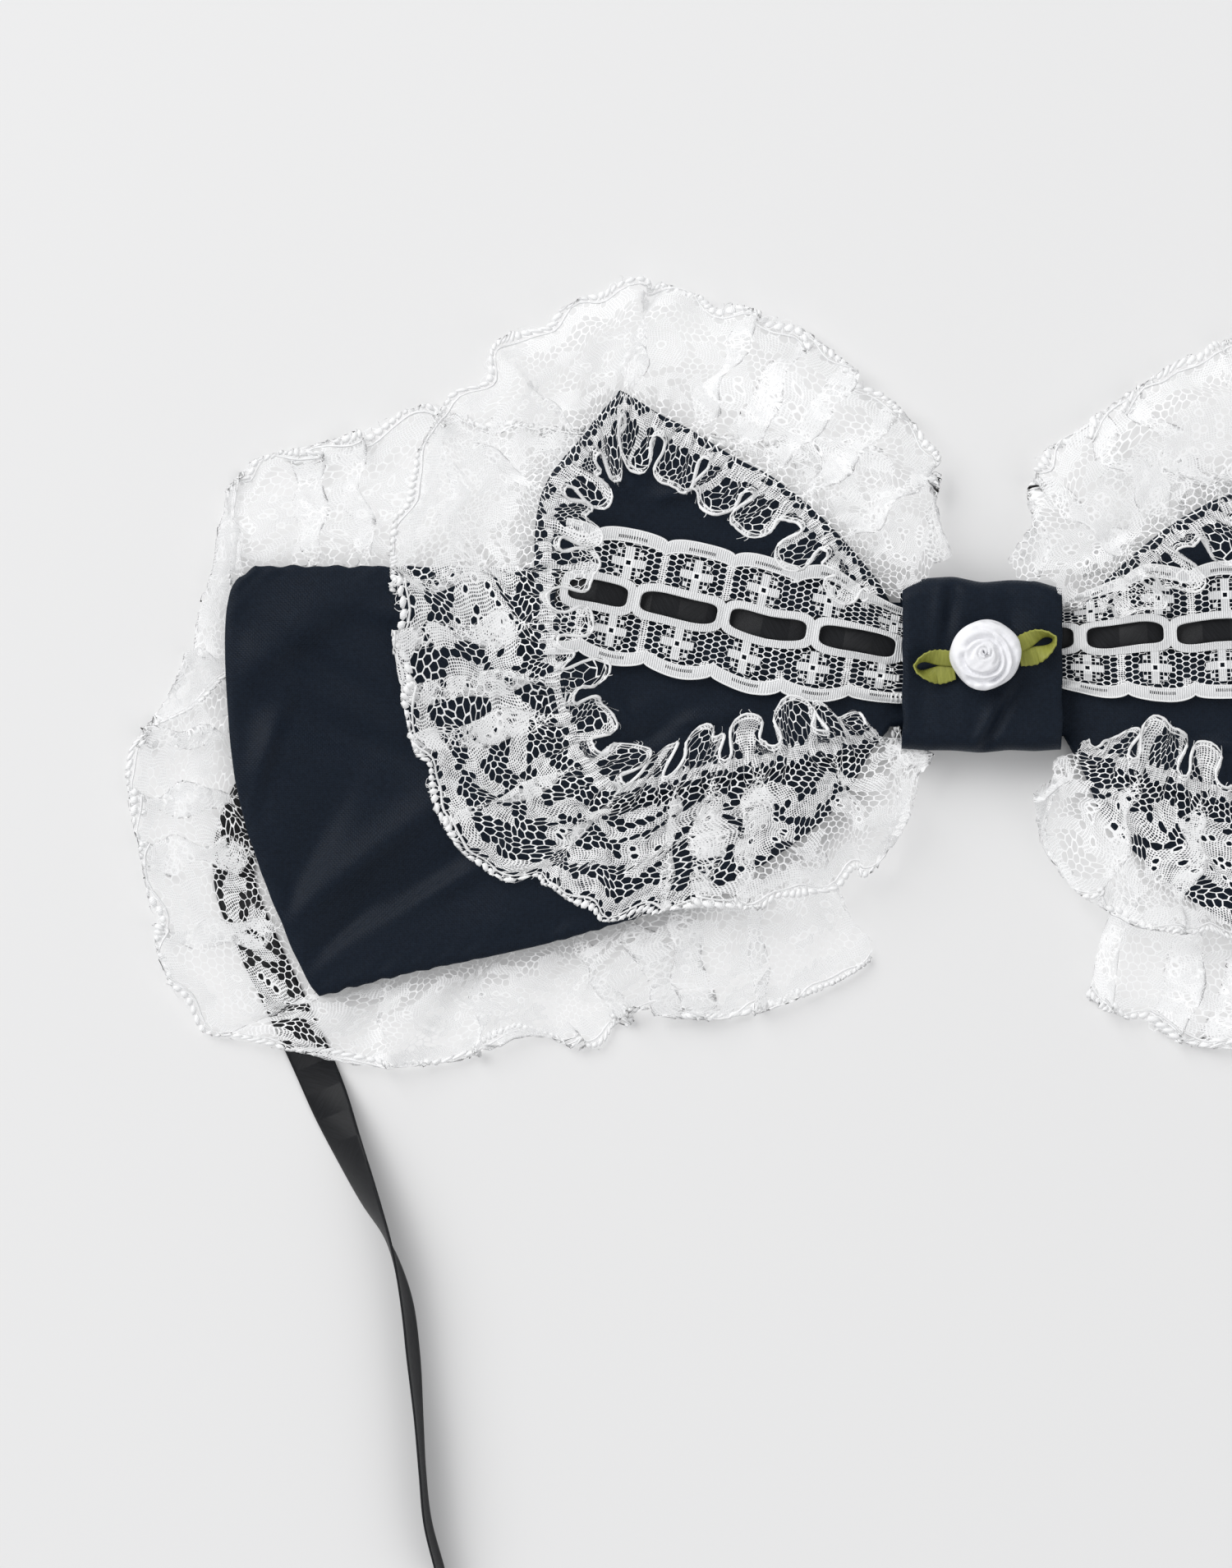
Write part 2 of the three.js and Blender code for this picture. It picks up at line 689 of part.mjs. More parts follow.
// A leaf: a ribbon looped out from beside the rose to a tip and back, leaning over its lower edge
function leaf(side) {
  const steps = 12;
  const root = (roseDiameter + roseWall) / 2 + pieceGap;
  const tip = leafReach - leafWall;
  const lean = degToRad(leafLean);
  const low = knotDepth + pieceGap + leafWall / 2;
  const middle = (i, j) => {
    const turn = Math.PI * (i / steps - 0.5);
    const reach = lerp(root, tip, Math.cos(turn) ** leafTaper);
    const spread = (leafWidth / 2 - leafWall) * Math.sin(turn) * lerp(leafTaper, 1, Math.cos(turn));
    const across = leafRibbon * (j - 0.5);
    const height = low + (leafRibbon / 2 + across) * Math.cos(lean);
    return new THREE.Vector3(side * reach, side * spread + across * Math.sin(lean), height)
      .applyAxisAngle(new THREE.Vector3(0, 0, 1), degToRad(leafTurn))
      .add(new THREE.Vector3(roseX, roseY, 0));
  };
  return sheetWall(steps, 1, middle, leafWall);
}

// A tie: a flat ribbon that lies on the table and turns onto its edge towards its free end
function tieRibbon(side) {
  const splits = 2;
  const steps = splits * (tieRoute.length - 1);
  const course = tieRoute.map(({ out, up }) => onWing(side, out, up, 0));
  const route = new THREE.CatmullRomCurve3(course, false, 'centripetal');
  const middle = (i, j) => {
    const tangent = route.getTangent(i / steps);
    const row = Math.min(Math.floor(i / splits), tieRoute.length - 2);
    const roll = degToRad(lerp(tieRoute[row].roll, tieRoute[row + 1].roll, i / splits - row));
    const flat = Math.cos(roll);
    const height = (tieWidth * Math.sin(roll) + tieThickness * Math.abs(flat)) / 2;
    const across = new THREE.Vector3(-tangent.y * flat, tangent.x * flat, Math.sin(roll));
    return route.getPoint(i / steps).setZ(height).addScaledVector(across, (j - 0.5) * tieWidth);
  };
  return sheetWall(steps, 1, middle, tieThickness);
}

addPiece('base_panel', panel(baseOutline, baseLow, baseDents, 10, 6), blackCotton);
addPiece('bow_panel', panel(bowOutline, bowLow, bowDents, 8, 6), blackCotton);
addPiece('ladder_lace', ladderLace(), whiteLace);
addPiece('insertion_ribbon', insertionRibbon(), blackSatin);
addPiece('knot_band', knotBand(), blackCotton);
addPiece('ribbon_rose', ribbonRose(), whiteSatin);
for (const [name, side] of Object.entries(sides)) {
  addPiece(`base_ruffle_${name}`, baseRuffle(side), whiteLace);
  addPiece(`bow_ruffle_${name}`, bowRuffle(side), whiteLace);
  addPiece(`leaf_${name}`, leaf(side), greenSatin);
  addPiece(`tie_ribbon_${name}`, tieRibbon(side), blackSatin);
}

export default headdress;
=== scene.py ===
"""A ribbon headdress on a pale table: padded fabric panels, gathered lace round both of them, a ladder
lace with its ribbon, a wrapped knot with a ribbon rose and leaves, and a tie at each end.

Lengths are in millimetres and turn into metres where a mesh is made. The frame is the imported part's:
X along the bow, Y to its upper edge, Z up from the table, and the origin behind the knot."""
import math

import bpy
import numpy as np
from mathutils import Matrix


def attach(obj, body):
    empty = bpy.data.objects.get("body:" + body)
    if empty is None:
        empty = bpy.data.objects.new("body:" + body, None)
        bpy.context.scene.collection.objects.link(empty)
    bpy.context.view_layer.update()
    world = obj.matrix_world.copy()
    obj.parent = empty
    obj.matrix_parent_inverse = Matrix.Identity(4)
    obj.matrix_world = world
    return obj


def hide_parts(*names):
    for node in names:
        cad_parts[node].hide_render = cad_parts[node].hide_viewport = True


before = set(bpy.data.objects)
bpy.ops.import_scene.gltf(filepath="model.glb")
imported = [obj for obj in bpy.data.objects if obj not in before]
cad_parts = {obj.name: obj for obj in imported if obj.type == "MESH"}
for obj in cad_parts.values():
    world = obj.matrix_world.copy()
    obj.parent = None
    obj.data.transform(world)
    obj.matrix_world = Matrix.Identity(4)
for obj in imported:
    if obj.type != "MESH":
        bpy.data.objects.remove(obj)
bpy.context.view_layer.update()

MM = 0.001
SIDES = {"left": -1, "right": 1}

# The photograph's frame, in millimetres on the table
FRAME_HEIGHT = 343.6
FRAME_MIDDLE = (-79.7, -26.0)
CAMERA_HEIGHT = 1400
SENSOR = 36

# Knot
KNOT_WIDTH, KNOT_HEIGHT, KNOT_DEPTH, KNOT_CORNER, KNOT_WALL = 34.7, 38.5, 11.2, 3.6, 1.3

# Fabric panels and their heights in the stack
BASE_LENGTH, BASE_HEIGHT = 147, 94
BOW_LENGTH, BOW_HEIGHT = 80, 90
WAIST_HEIGHT, WAIST_REACH = 27, 2.5
PANEL_THICKNESS, PANEL_ROUND = 2, 2.2
FAN_LIFT, FAN_LIFT_REACH = 2.1, 20
RIGHT_DROOP = 6.5
GAP = 0.3
BASE_LOW = KNOT_WALL + GAP
BASE_TOP = BASE_LOW + PANEL_THICKNESS
BOW_LOW = BASE_TOP + GAP
BOW_TOP = BOW_LOW + PANEL_THICKNESS
INSERTION_LOW = BOW_TOP + GAP
INSERTION_TOP = INSERTION_LOW + 1
LADDER_LOW = INSERTION_TOP + GAP
LADDER_TOP = LADDER_LOW + 1

# Lace
LACE_THICKNESS = 1
BASE_FRILL_WIDTH, BOW_FRILL_WIDTH, HEADING_WIDTH, SEAM_INSET = 32, 33, 10, 3
CELL_LONG, CELL_WIDE, CELL_OPEN = 2.2, 1.8, 0.86
REPEAT, SCALLOP_PITCH, SCALLOP_DEPTH = 54, 18, 1.6
BEAD_PITCH, BEAD_WIDTH = 1.75, 1.7
LEAST_REACH, HEADING_LOOP, LOOP_BULGE, KNOT_CLEAR = 0.8, 11.5, 0.075, 0.5
THREAD_CLEAR = 0.8

# Ladder lace and its ribbon
LADDER_WIDTH, LADDER_PITCH, LADDER_SHIFT, LADDER_REACH = 28, 19.44, 2, 75.5
SLOT_LENGTH, SLOT_HEIGHT, SLOT_ROUND, LADDER_SCALLOP, LADDER_MARGIN = 16.6, 4.9, 2.2, 0.9, 6
SLOT_RIM, BORDER_WIDTH = 1.75, 2.7
FLOWER_PITCH, FLOWER_MIDDLE = 14.6, 7.6
FLOWER_CELL, FLOWER_HEART = 0.9, 1.7
INSERTION_WIDTH = 7

# Ties, rose and leaves
TIE_WIDTH, TIE_THICKNESS = 9, 0.45
ROSE_X, ROSE_Y, ROSE_DIAMETER, ROSE_HEIGHT = 0.5, 1.8, 15.7, 6.5
LEAF_RIBBON, LEAF_TURN, PICOT_PITCH = 3.6, 11.5, 1.25

# Creases of the rose round its own middle, in millimetres: x, y, radius, from and to in degrees, depth
ROSE_CREASES = [
    (-0.9, -0.2, 3.9, -200, 160, 1.1), (-0.4, 0.1, 2.7, -60, 200, 0.6), (-1.2, -0.6, 5.4, -75, 62, 1.0),
    (-0.6, -0.9, 6.5, -60, 75, 0.9), (-0.9, 1.2, 6.6, -128, -48, 1.5), (0.4, -0.4, 7.0, -100, -20, 0.8),
    (-2.0, 1.2, 4.6, 20, 110, 0.6),
]
# The rose's outline: radius at each 30 degrees from its right side
ROSE_OUTLINE = [7.6, 7.9, 7.7, 7.8, 7.7, 7.8, 7.9, 7.2, 7.6, 7.5, 7.0, 7.3]

# A leaf's loop of ribbon, from its upper root to its tip and back: inner x and y, outer x and y, and
# how far the strand lies above the knot, in millimetres from the rose's middle along the leaf
LEAF_LOOP = [
    (7.0, -0.9, 7.0, 2.5, 0.75), (10.3, 0.1, 9.6, 3.25, 0.5), (13.1, 1.45, 12.2, 3.2, 0.25),
    (14.6, 1.3, 14.4, 2.2, 0.1), (15.2, 0.65, 15.65, 0.75, 0.1), (14.9, 0.0, 15.2, -0.75, 0.1),
    (13.6, -0.4, 13.3, -2.7, 0.1), (10.6, -0.1, 10.8, -3.95, 0.1), (7.0, 0.5, 7.2, -3.7, 0.1),
]

# Stitch chart of a ladder flower, from its upper edge down: a hash is woven, a dot is a square hole, the
# heart has a wide rim and a space is left to the net
FLOWER_CHART = [
    "  .#.  ",
    " #.#.# ",
    " ..#.. ",
    "###o###",
    " ..#.. ",
    " #.#.# ",
    "  .#.  ",
]

# Fan outlines: rows are out and up, as shares of the panel's own length and height.
BASE_OUTLINE = {
    "size": (BASE_LENGTH, BASE_HEIGHT), "sewn_over": 0,
    "top": [(0.04, 0.19), (0.3, 0.215), (0.7, 0.228), (0.96, 0.23)],
    "outer": [(0.96, 0.23), (0.995, 0.18), (1, -0.13), (0.975, -0.37), (0.88, -0.74), (0.865, -0.77)],
    "bottom": [(0.05, -0.215), (0.09, -0.32), (0.235, -0.49), (0.485, -0.63), (0.755, -0.725), (0.865, -0.77)],
}
BOW_OUTLINE = {
    "size": (BOW_LENGTH, BOW_HEIGHT), "sewn_over": 7,
    "top": [(0.07, 0.21), (0.26, 0.395), (0.475, 0.515), (0.77, 0.665)],
    "outer": [(0.77, 0.665), (0.865, 0.56), (0.98, 0.42), (1, 0.14), (0.97, -0.08), (0.9, -0.25), (0.8, -0.34)],
    "bottom": [(0.08, -0.2), (0.3, -0.245), (0.55, -0.29), (0.8, -0.34)],
}

# Frill columns: share of the seam, reach as a share of the frill's width, lean in degrees from
# straight up turning outward, and how far the free edge sinks towards the table
BASE_FRILL = np.array([
    (0.012, 1.03, 0, 0), (0.2, 1.08, 3, 0), (0.27, 1.2, 7, 0), (0.32, 0.97, 7, 0), (0.365, 0.85, 8, 0),
    (0.4, 0.41, 24, 0), (0.425, 0.33, 70, 0), (0.45, 0.52, 88, 0), (0.48, 0.83, 92, 0),
    (0.54, 0.88, 94, 0), (0.6, 1, 100, 0), (0.635, 0.9, 117, 0), (0.65, 0.72, 140, 0),
    (0.67, 0.74, 172, 0), (0.7, 0.76, 190, 0), (0.73, 0.68, 198, 0), (0.76, 0.86, 197, 0),
    (0.79, 0.72, 198, 0), (0.85, 0.96, 193, 0), (0.93, 1.14, 195, 0),
])
BOW_FRILL = np.array([
    (0.014, 0.62, -57, 0.4), (0.03, 0.64, -57, 0.4), (0.09, 0.95, -53, 0.6), (0.16, 1, -43, 0.8), (0.22, 1.07, -32, 0.9),
    (0.28, 0.93, -20, 0.9), (0.32, 0.89, -4, 0.9), (0.35, 0.86, 18, 0.7), (0.38, 0.96, 39, 0.3),
    (0.43, 0.94, 64, 0), (0.48, 1.05, 85, 0), (0.58, 1.04, 98, 0), (0.66, 1.02, 109, 0),
    (0.71, 1.03, 120, 0), (0.75, 0.86, 140, 0), (0.78, 1.03, 158, 0), (0.82, 0.94, 170, 0),
    (0.86, 0.98, 177, 0), (0.9, 1.03, 186, 0), (0.94, 0.92, 196, 0.3), (0.96, 0.7, 212, 0.5),
    (0.975, 0.48, 230, 0.5), (0.99, 0.45, 232, 0.5),
])

# Soft folds of a panel: centre out and up as shares of its size, length and width as shares of its
# length, heading in degrees, and height in millimetres
BASE_FOLDS = [
    (0.82, -0.18, 0.17, 0.035, 20, -2.1), (0.72, -0.52, 0.15, 0.03, -30, -2.0),
    (0.88, -0.46, 0.12, 0.032, -62, -1.8), (0.78, -0.44, 0.14, 0.022, -38, 2.0),
    (0.66, -0.5, 0.1, 0.016, -30, 1.7), (0.9, 0.06, 0.1, 0.04, -35, 1.7),
    (0.86, -0.02, 0.13, 0.025, 32, -1.5), (0.94, -0.2, 0.08, 0.018, -70, 1.4),
    (0.7, 0.1, 0.12, 0.025, 10, 1.5), (0.83, -0.62, 0.08, 0.018, -45, -1.4),
]
BOW_FOLDS = [
    (0.42, -0.06, 0.2, 0.03, 3, -1.5), (0.78, -0.05, 0.1, 0.035, 55, -1.6),
    (0.5, -0.13, 0.16, 0.022, -8, 1.9), (0.36, -0.12, 0.14, 0.018, 8, -1.5),
    (0.66, -0.16, 0.12, 0.028, -32, -1.7), (0.6, -0.06, 0.14, 0.026, -25, 1.6),
    (0.6, 0.42, 0.12, 0.028, -25, 1.6), (0.5, 0.38, 0.14, 0.024, 30, -1.5),
    (0.76, 0.45, 0.08, 0.028, 60, 1.4),
]

STEEP_FLANK, SOFT_FLANK = 0.45, 1.2

# Course of the ladder lace: out, and its height on the left and right wing, as shares of the bow panel
LADDER_COURSE = np.array([(0, 0.04, 0.064), (0.35, 0.09, 0.078), (0.75, 0.163, 0.094), (1, 0.2, 0.1)])

# The knot's edges: at, top and bottom as shares of half its width and height
KNOT_EDGES = np.array([
    (-1, 0.88, 0.95), (-0.72, 0.98, 0.97), (-0.35, 1, 0.97), (0, 0.93, 1),
    (0.35, 0.96, 0.965), (0.68, 0.95, 0.98), (1, 0.86, 0.96),
])
# Creases of the knot: x, y, heading, half length, half width and height
KNOT_CREASES = [
    (3.2, -13, 60, 8, 1.2, -1.3), (0.8, -13.5, 62, 8, 1.6, 0.9), (-7, 12, 80, 6, 1.6, -1.0),
    (-9.5, 12, 84, 6, 1.6, 0.7), (6, 11, 100, 5, 1.8, -0.8), (-4, -12, 95, 7, 2.2, 0.5),
    (10, 3, 75, 9, 2.6, 0.6), (-13, -4, 88, 9, 2.2, -0.6),
]

# Route of the left tie: out from the knot's edge, up from its middle, and the ribbon's roll
TIE_ROUTE = [
    (141, -26, 0), (145.5, -37, 0), (145.8, -48, 0), (140.9, -61, 0), (134.5, -74.5, 0),
    (127.3, -90.2, 0), (121.8, -103.5, 38), (116, -117, 62), (111.4, -127, 88), (108.2, -138.6, 104),
    (106.6, -151.2, 106), (105.5, -163.8, 99), (104.6, -176.4, 95), (103.5, -187.2, 97),
    (100.8, -197.8, 99), (100.2, -200.4, 99),
]


# Places

def smoothstep(value, low, high):
    share = np.clip((value - low) / (high - low), 0, 1)
    return share * share * (3 - 2 * share)


def on_wing(side, out, up, height):
    """Points of a wing, out from the knot's edge. The right wing hangs a little lower than the left."""
    x = side * (KNOT_WIDTH / 2 + out)
    droop = math.radians(RIGHT_DROOP) * smoothstep(out, -KNOT_WIDTH / 2, 0) if side > 0 else 0
    return np.stack(np.broadcast_arrays(
        x * np.cos(droop) + up * np.sin(droop),
        up * np.cos(droop) - x * np.sin(droop),
        height,
    ), axis=-1)


def lift_at(out):
    return FAN_LIFT * smoothstep(out, 0, FAN_LIFT_REACH)


def spline(places, steps=24):
    """Points of a centripetal curve through a few places."""
    places = np.array(places, float)
    places = np.vstack([2 * places[0] - places[1], places, 2 * places[-1] - places[-2]])
    points = []
    for a, b, c, d in zip(places, places[1:], places[2:], places[3:]):
        before, here, after = (math.sqrt(np.linalg.norm(q - p)) for p, q in ((a, b), (b, c), (c, d)))
        start = here * ((b - a) / before - (c - a) / (before + here) + (c - b) / here)
        stop = here * ((c - b) / here - (d - b) / (here + after) + (d - c) / after)
        t = np.linspace(0, 1, steps, endpoint=False)[:, None]
        points.append(
            (2 * t**3 - 3 * t**2 + 1) * b + (t**3 - 2 * t**2 + t) * start
            + (3 * t**2 - 2 * t**3) * c + (t**3 - t**2) * stop
        )
    return np.vstack([*points, places[-2]])


def lengths_along(line):
    return np.concatenate([[0], np.cumsum(np.linalg.norm(np.diff(line, axis=0), axis=1))])


def along_line(line, shares):
    """Points at shares of a line's length."""
    lengths = lengths_along(line)
    wanted = np.asarray(shares) * lengths[-1]
    return np.stack([np.interp(wanted, lengths, column) for column in line.T], axis=-1)


def fan_edges(outline):
    size = np.array(outline["size"])
    waist = {"top": 1, "bottom": -1}
    edges = {}
    for name in ("top", "outer", "bottom"):
        rows = [np.array(row) * size for row in outline[name]]
        if name in waist:
            rows.insert(0, np.array((WAIST_REACH, waist[name] * WAIST_HEIGHT / 2)))
        edges[name] = spline(rows)
    return edges


def fan_places(edges, along, across):
    """Places of a fan: along runs from the waist outwards, across from the lower to the upper edge."""
    top, bottom = along_line(edges["top"], along), along_line(edges["bottom"], along)
    outer = along_line(edges["outer"], 1 - across)
    waist = np.stack([np.full_like(across, WAIST_REACH), (across - 0.5) * WAIST_HEIGHT], axis=-1)
    low, high = edges["outer"][-1], edges["outer"][0]
    a, b = along[..., None], across[..., None]
    waist_low, waist_high = np.array((WAIST_REACH, -WAIST_HEIGHT / 2)), np.array((WAIST_REACH, WAIST_HEIGHT / 2))
    return (
        bottom * (1 - b) + top * b + waist * (1 - a) + outer * a
        - waist_low * (1 - a) * (1 - b) - waist_high * (1 - a) * b - low * a * (1 - b) - high * a * b
    )


def waves(seed, count, longest, shortest):
    """A smooth uneven function of a length, between about -1 and 1, from a few seeded waves."""
    draw = np.random.default_rng(seed)
    pitches = draw.uniform(shortest, longest, count)
    phases = draw.uniform(0, 2 * math.pi, count)
    return lambda x: sum(np.sin(2 * math.pi * x / p + f) for p, f in zip(pitches, phases)) / math.sqrt(count)


# Meshes

def mesh_piece(name, points, groups, finishes, slot, nodes, threads=None):
    """A piece from points in millimetres and groups of equal faces, each with its finish's number."""
    corners = np.concatenate([faces.ravel() for faces, _ in groups])
    sizes = np.concatenate([np.full(len(faces), faces.shape[1]) for faces, _ in groups])
    numbers = np.concatenate([np.full(len(faces), number) for faces, number in groups])
    mesh = bpy.data.meshes.new(f"{name}_{slot}")
    mesh.vertices.add(len(points))
    mesh.vertices.foreach_set("co", (points * MM).astype(np.float32).ravel())
    mesh.loops.add(len(corners))
    mesh.loops.foreach_set("vertex_index", corners.astype(np.int32))
    mesh.polygons.add(len(sizes))
    mesh.polygons.foreach_set("loop_start", (np.cumsum(sizes) - sizes).astype(np.int32))
    mesh.polygons.foreach_set("loop_total", sizes.astype(np.int32))
    mesh.polygons.foreach_set("material_index", numbers.astype(np.int32))
    mesh.polygons.foreach_set("use_smooth", np.ones(len(sizes), bool))
    if threads is not None:
        layer = mesh.uv_layers.new(name="threads")
        layer.data.foreach_set("uv", threads[corners].astype(np.float32).ravel())
    mesh.update(calc_edges=True)
    mesh.validate()
    piece = bpy.data.objects.new(mesh.name, mesh)
    bpy.context.scene.collection.objects.link(piece)
    for finish in finishes:
        mesh.materials.append(finish)
    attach(piece, "root")
    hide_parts(*nodes)
    return piece


def joined(parts):
    """One part from several, each made of points and groups of faces."""
    points, groups, count = [], [], 0
    for part_points, part_groups in parts:
        groups += [(faces + count, number) for faces, number in part_groups]
        points.append(part_points)
        count += len(part_points)
    return np.vstack(points), groups


def grid_faces(columns, rows, ring_columns=False, ring_rows=False):
    """Quads of a grid of points, which may close on itself either way."""
    i, j = np.meshgrid(np.arange(columns if ring_columns else columns - 1),
                       np.arange(rows if ring_rows else rows - 1), indexing="ij")
    i, j = i.ravel(), j.ravel()
    i_next, j_next = (i + 1) % columns, (j + 1) % rows
    return np.stack([i * rows + j, i_next * rows + j, i_next * rows + j_next, i * rows + j_next], axis=1)


def closed_wall(front, back, ring_rows=False):
    """A closed wall between two skins on one grid of columns and rows."""
    columns, rows = front.shape[:2]
    count = columns * rows
    skin = grid_faces(columns, rows, ring_rows=ring_rows)
    rims = []
    ends = [np.arange(rows), np.arange(rows)[::-1] + (columns - 1) * rows]
    if ring_rows:
        ends = [np.append(end, end[0]) for end in ends]
    else:
        ends += [np.arange(columns)[::-1] * rows, np.arange(columns) * rows + rows - 1]
    for end in ends:
        rims.append(np.stack([end[:-1], end[1:], end[1:] + count, end[:-1] + count], axis=1))
    faces = np.concatenate([skin, skin[:, ::-1] + count, *rims])
    return np.concatenate([front.reshape(-1, 3), back.reshape(-1, 3)]), [(faces, 0)]


def skins(middle, thickness):
    """The two skins of a wall of even thickness about a middle grid."""
    across = np.cross(np.gradient(middle, axis=0), np.gradient(middle, axis=1))
    across /= np.maximum(np.linalg.norm(across, axis=-1, keepdims=True), 1e-9)
    return middle + across * thickness / 2, middle - across * thickness / 2


# Camera and ties

def photo_camera():
    camera = bpy.data.cameras.new("photo_camera")
    camera.sensor_width = SENSOR
    camera.lens = SENSOR * CAMERA_HEIGHT / FRAME_HEIGHT
    camera.clip_start, camera.clip_end = 0.05, 20
    mount = bpy.data.objects.new("photo_camera", camera)
    mount.location = (FRAME_MIDDLE[0] * MM, FRAME_MIDDLE[1] * MM, CAMERA_HEIGHT * MM)
    bpy.context.scene.collection.objects.link(mount)
    bpy.context.scene.camera = mount


def tie_ribbon(name, side, finish):
    """A satin tie that leaves the panel flat on the table and turns onto its edge."""
    route = np.array(TIE_ROUTE, float)
    steps = 10
    course = spline(on_wing(side, route[:, 0], route[:, 1], 0.0), steps)
    roll = np.radians(np.interp(np.arange(len(course)) / steps, np.arange(len(route)), route[:, 2]))
    roll = np.convolve(np.pad(roll, 6, mode="edge"), np.hanning(15)[1:-1] / np.hanning(15).sum(), "valid")
    tangent = np.gradient(course, axis=0)
    tangent /= np.linalg.norm(tangent, axis=1, keepdims=True)
    shares = np.linspace(-0.5, 0.5, 13)
    flat, raised = np.cos(roll), np.sin(roll)
    across = np.stack([-tangent[:, 1] * flat, tangent[:, 0] * flat, raised], axis=1)
    course[:, 2] = (TIE_WIDTH * raised + 1.0 * np.abs(flat)) / 2
    cup = 0.5 * (1 - 4 * shares**2) * smoothstep(np.arange(len(course)), 10, 60)[:, None]
    normal = np.cross(tangent, across)
    middle = course[:, None] + across[:, None] * shares[None, :, None] * TIE_WIDTH + normal[:, None] * cup[..., None]
    front, back = skins(middle, TIE_THICKNESS)
    points, groups = closed_wall(front, back)
    points[:, 2] = np.maximum(points[:, 2], 0.02)
    lengths = lengths_along(course)
    flat_map = np.stack(np.broadcast_arrays(lengths[:, None], shares * TIE_WIDTH), axis=-1).reshape(-1, 2)
    piece = mesh_piece(name, points, groups, [finish], "black_satin", [name], np.tile(flat_map, (2, 1)))


# Fabric

def fold_height(folds, size, out, up):
    height = np.zeros_like(out)
    for centre_out, centre_up, long, wide, heading, rise in folds:
        outward, upward = out - centre_out * size[0], up - centre_up * size[1]
        turn = math.radians(heading)
        along = outward * math.cos(turn) + upward * math.sin(turn)
        across = upward * math.cos(turn) - outward * math.sin(turn)
        flank = wide * size[0] * np.where(across < 0, STEEP_FLANK, SOFT_FLANK)
        height += rise * np.exp(-((along / (long * size[0])) ** 2) - (across / flank) ** 2)
    return height


def fan_skins(side, outline, low, folds, seed):
    """The upper and lower skin of one fan, from its waist outwards."""
    edges = fan_edges(outline)
    length, height = outline["size"]
    along = np.sin(np.linspace(0, math.pi / 2, 96))
    across = 0.5 - 0.5 * np.cos(np.linspace(0, math.pi, 68))
    along, across = np.meshgrid(along, across, indexing="ij")
    places = fan_places(edges, along, across)
    out, up = places[..., 0], places[..., 1]
    spread = np.linalg.norm(places[:, -1] - places[:, 0], axis=-1)[:, None]
    inset = np.minimum(np.minimum(across, 1 - across) * spread, (1 - along) * length)
    half = PANEL_THICKNESS / 2 * np.sqrt(np.maximum(1 - (1 - np.clip(inset / PANEL_ROUND, 0, 1)) ** 2, 0.02))
    pucker = waves(seed, 4, 9, 4)
    crumple, sway = waves(seed + 1, 4, 60, 22), waves(seed + 2, 4, 50, 20)
    near_edge = np.exp(-((inset - 2.5) / 2.5) ** 2)
    soft = smoothstep(inset, outline["sewn_over"], outline["sewn_over"] + 6)
    if outline["sewn_over"]:
        soft = soft * (1 - 0.8 * ladder_cover(side, out, up))
    rise = fold_height(folds, outline["size"], out, up) * soft
    rise = rise + 0.55 * soft * crumple(out + 0.6 * up) * sway(up - 0.4 * out)
    rise = rise + 0.16 * near_edge * pucker(out + up)
    middle = low + PANEL_THICKNESS / 2 + lift_at(out)
    ripple = 0.18 * np.exp(-inset / 2) * pucker(out - up)
    shares = {1: 1, -1: 0.3}
    return [on_wing(side, out, up + ripple, middle + share * rise + face * half) for face, share in shares.items()]


def panel(name, outline, low, folds, finish, seed):
    """A padded panel of two fans and the waist that the knot holds."""
    left, right = (fan_skins(side, outline, low, folds, seed + side) for side in (-1, 1))
    faces = []
    for k, face in enumerate((1, -1)):
        height = np.linspace(-0.5, 0.5, left[k].shape[1]) * WAIST_HEIGHT
        waist = np.stack(np.broadcast_arrays(0.0, height, low + (1 + face) * PANEL_THICKNESS / 2), axis=-1)
        faces.append(np.concatenate([left[k][::-1], waist[None], right[k]]))
    piece = mesh_piece(name, *closed_wall(*faces), [finish], "black_cotton", [name])


def knot_crease(x, y):
    depth = np.zeros_like(x)
    for centre_x, centre_y, heading, long, wide, rise in KNOT_CREASES:
        turn = math.radians(heading)
        along = (x - centre_x) * math.cos(turn) + (y - centre_y) * math.sin(turn)
        across = (y - centre_y) * math.cos(turn) - (x - centre_x) * math.sin(turn)
        depth += rise * np.exp(-((along / long) ** 2) - (across / wide) ** 2)
    return depth


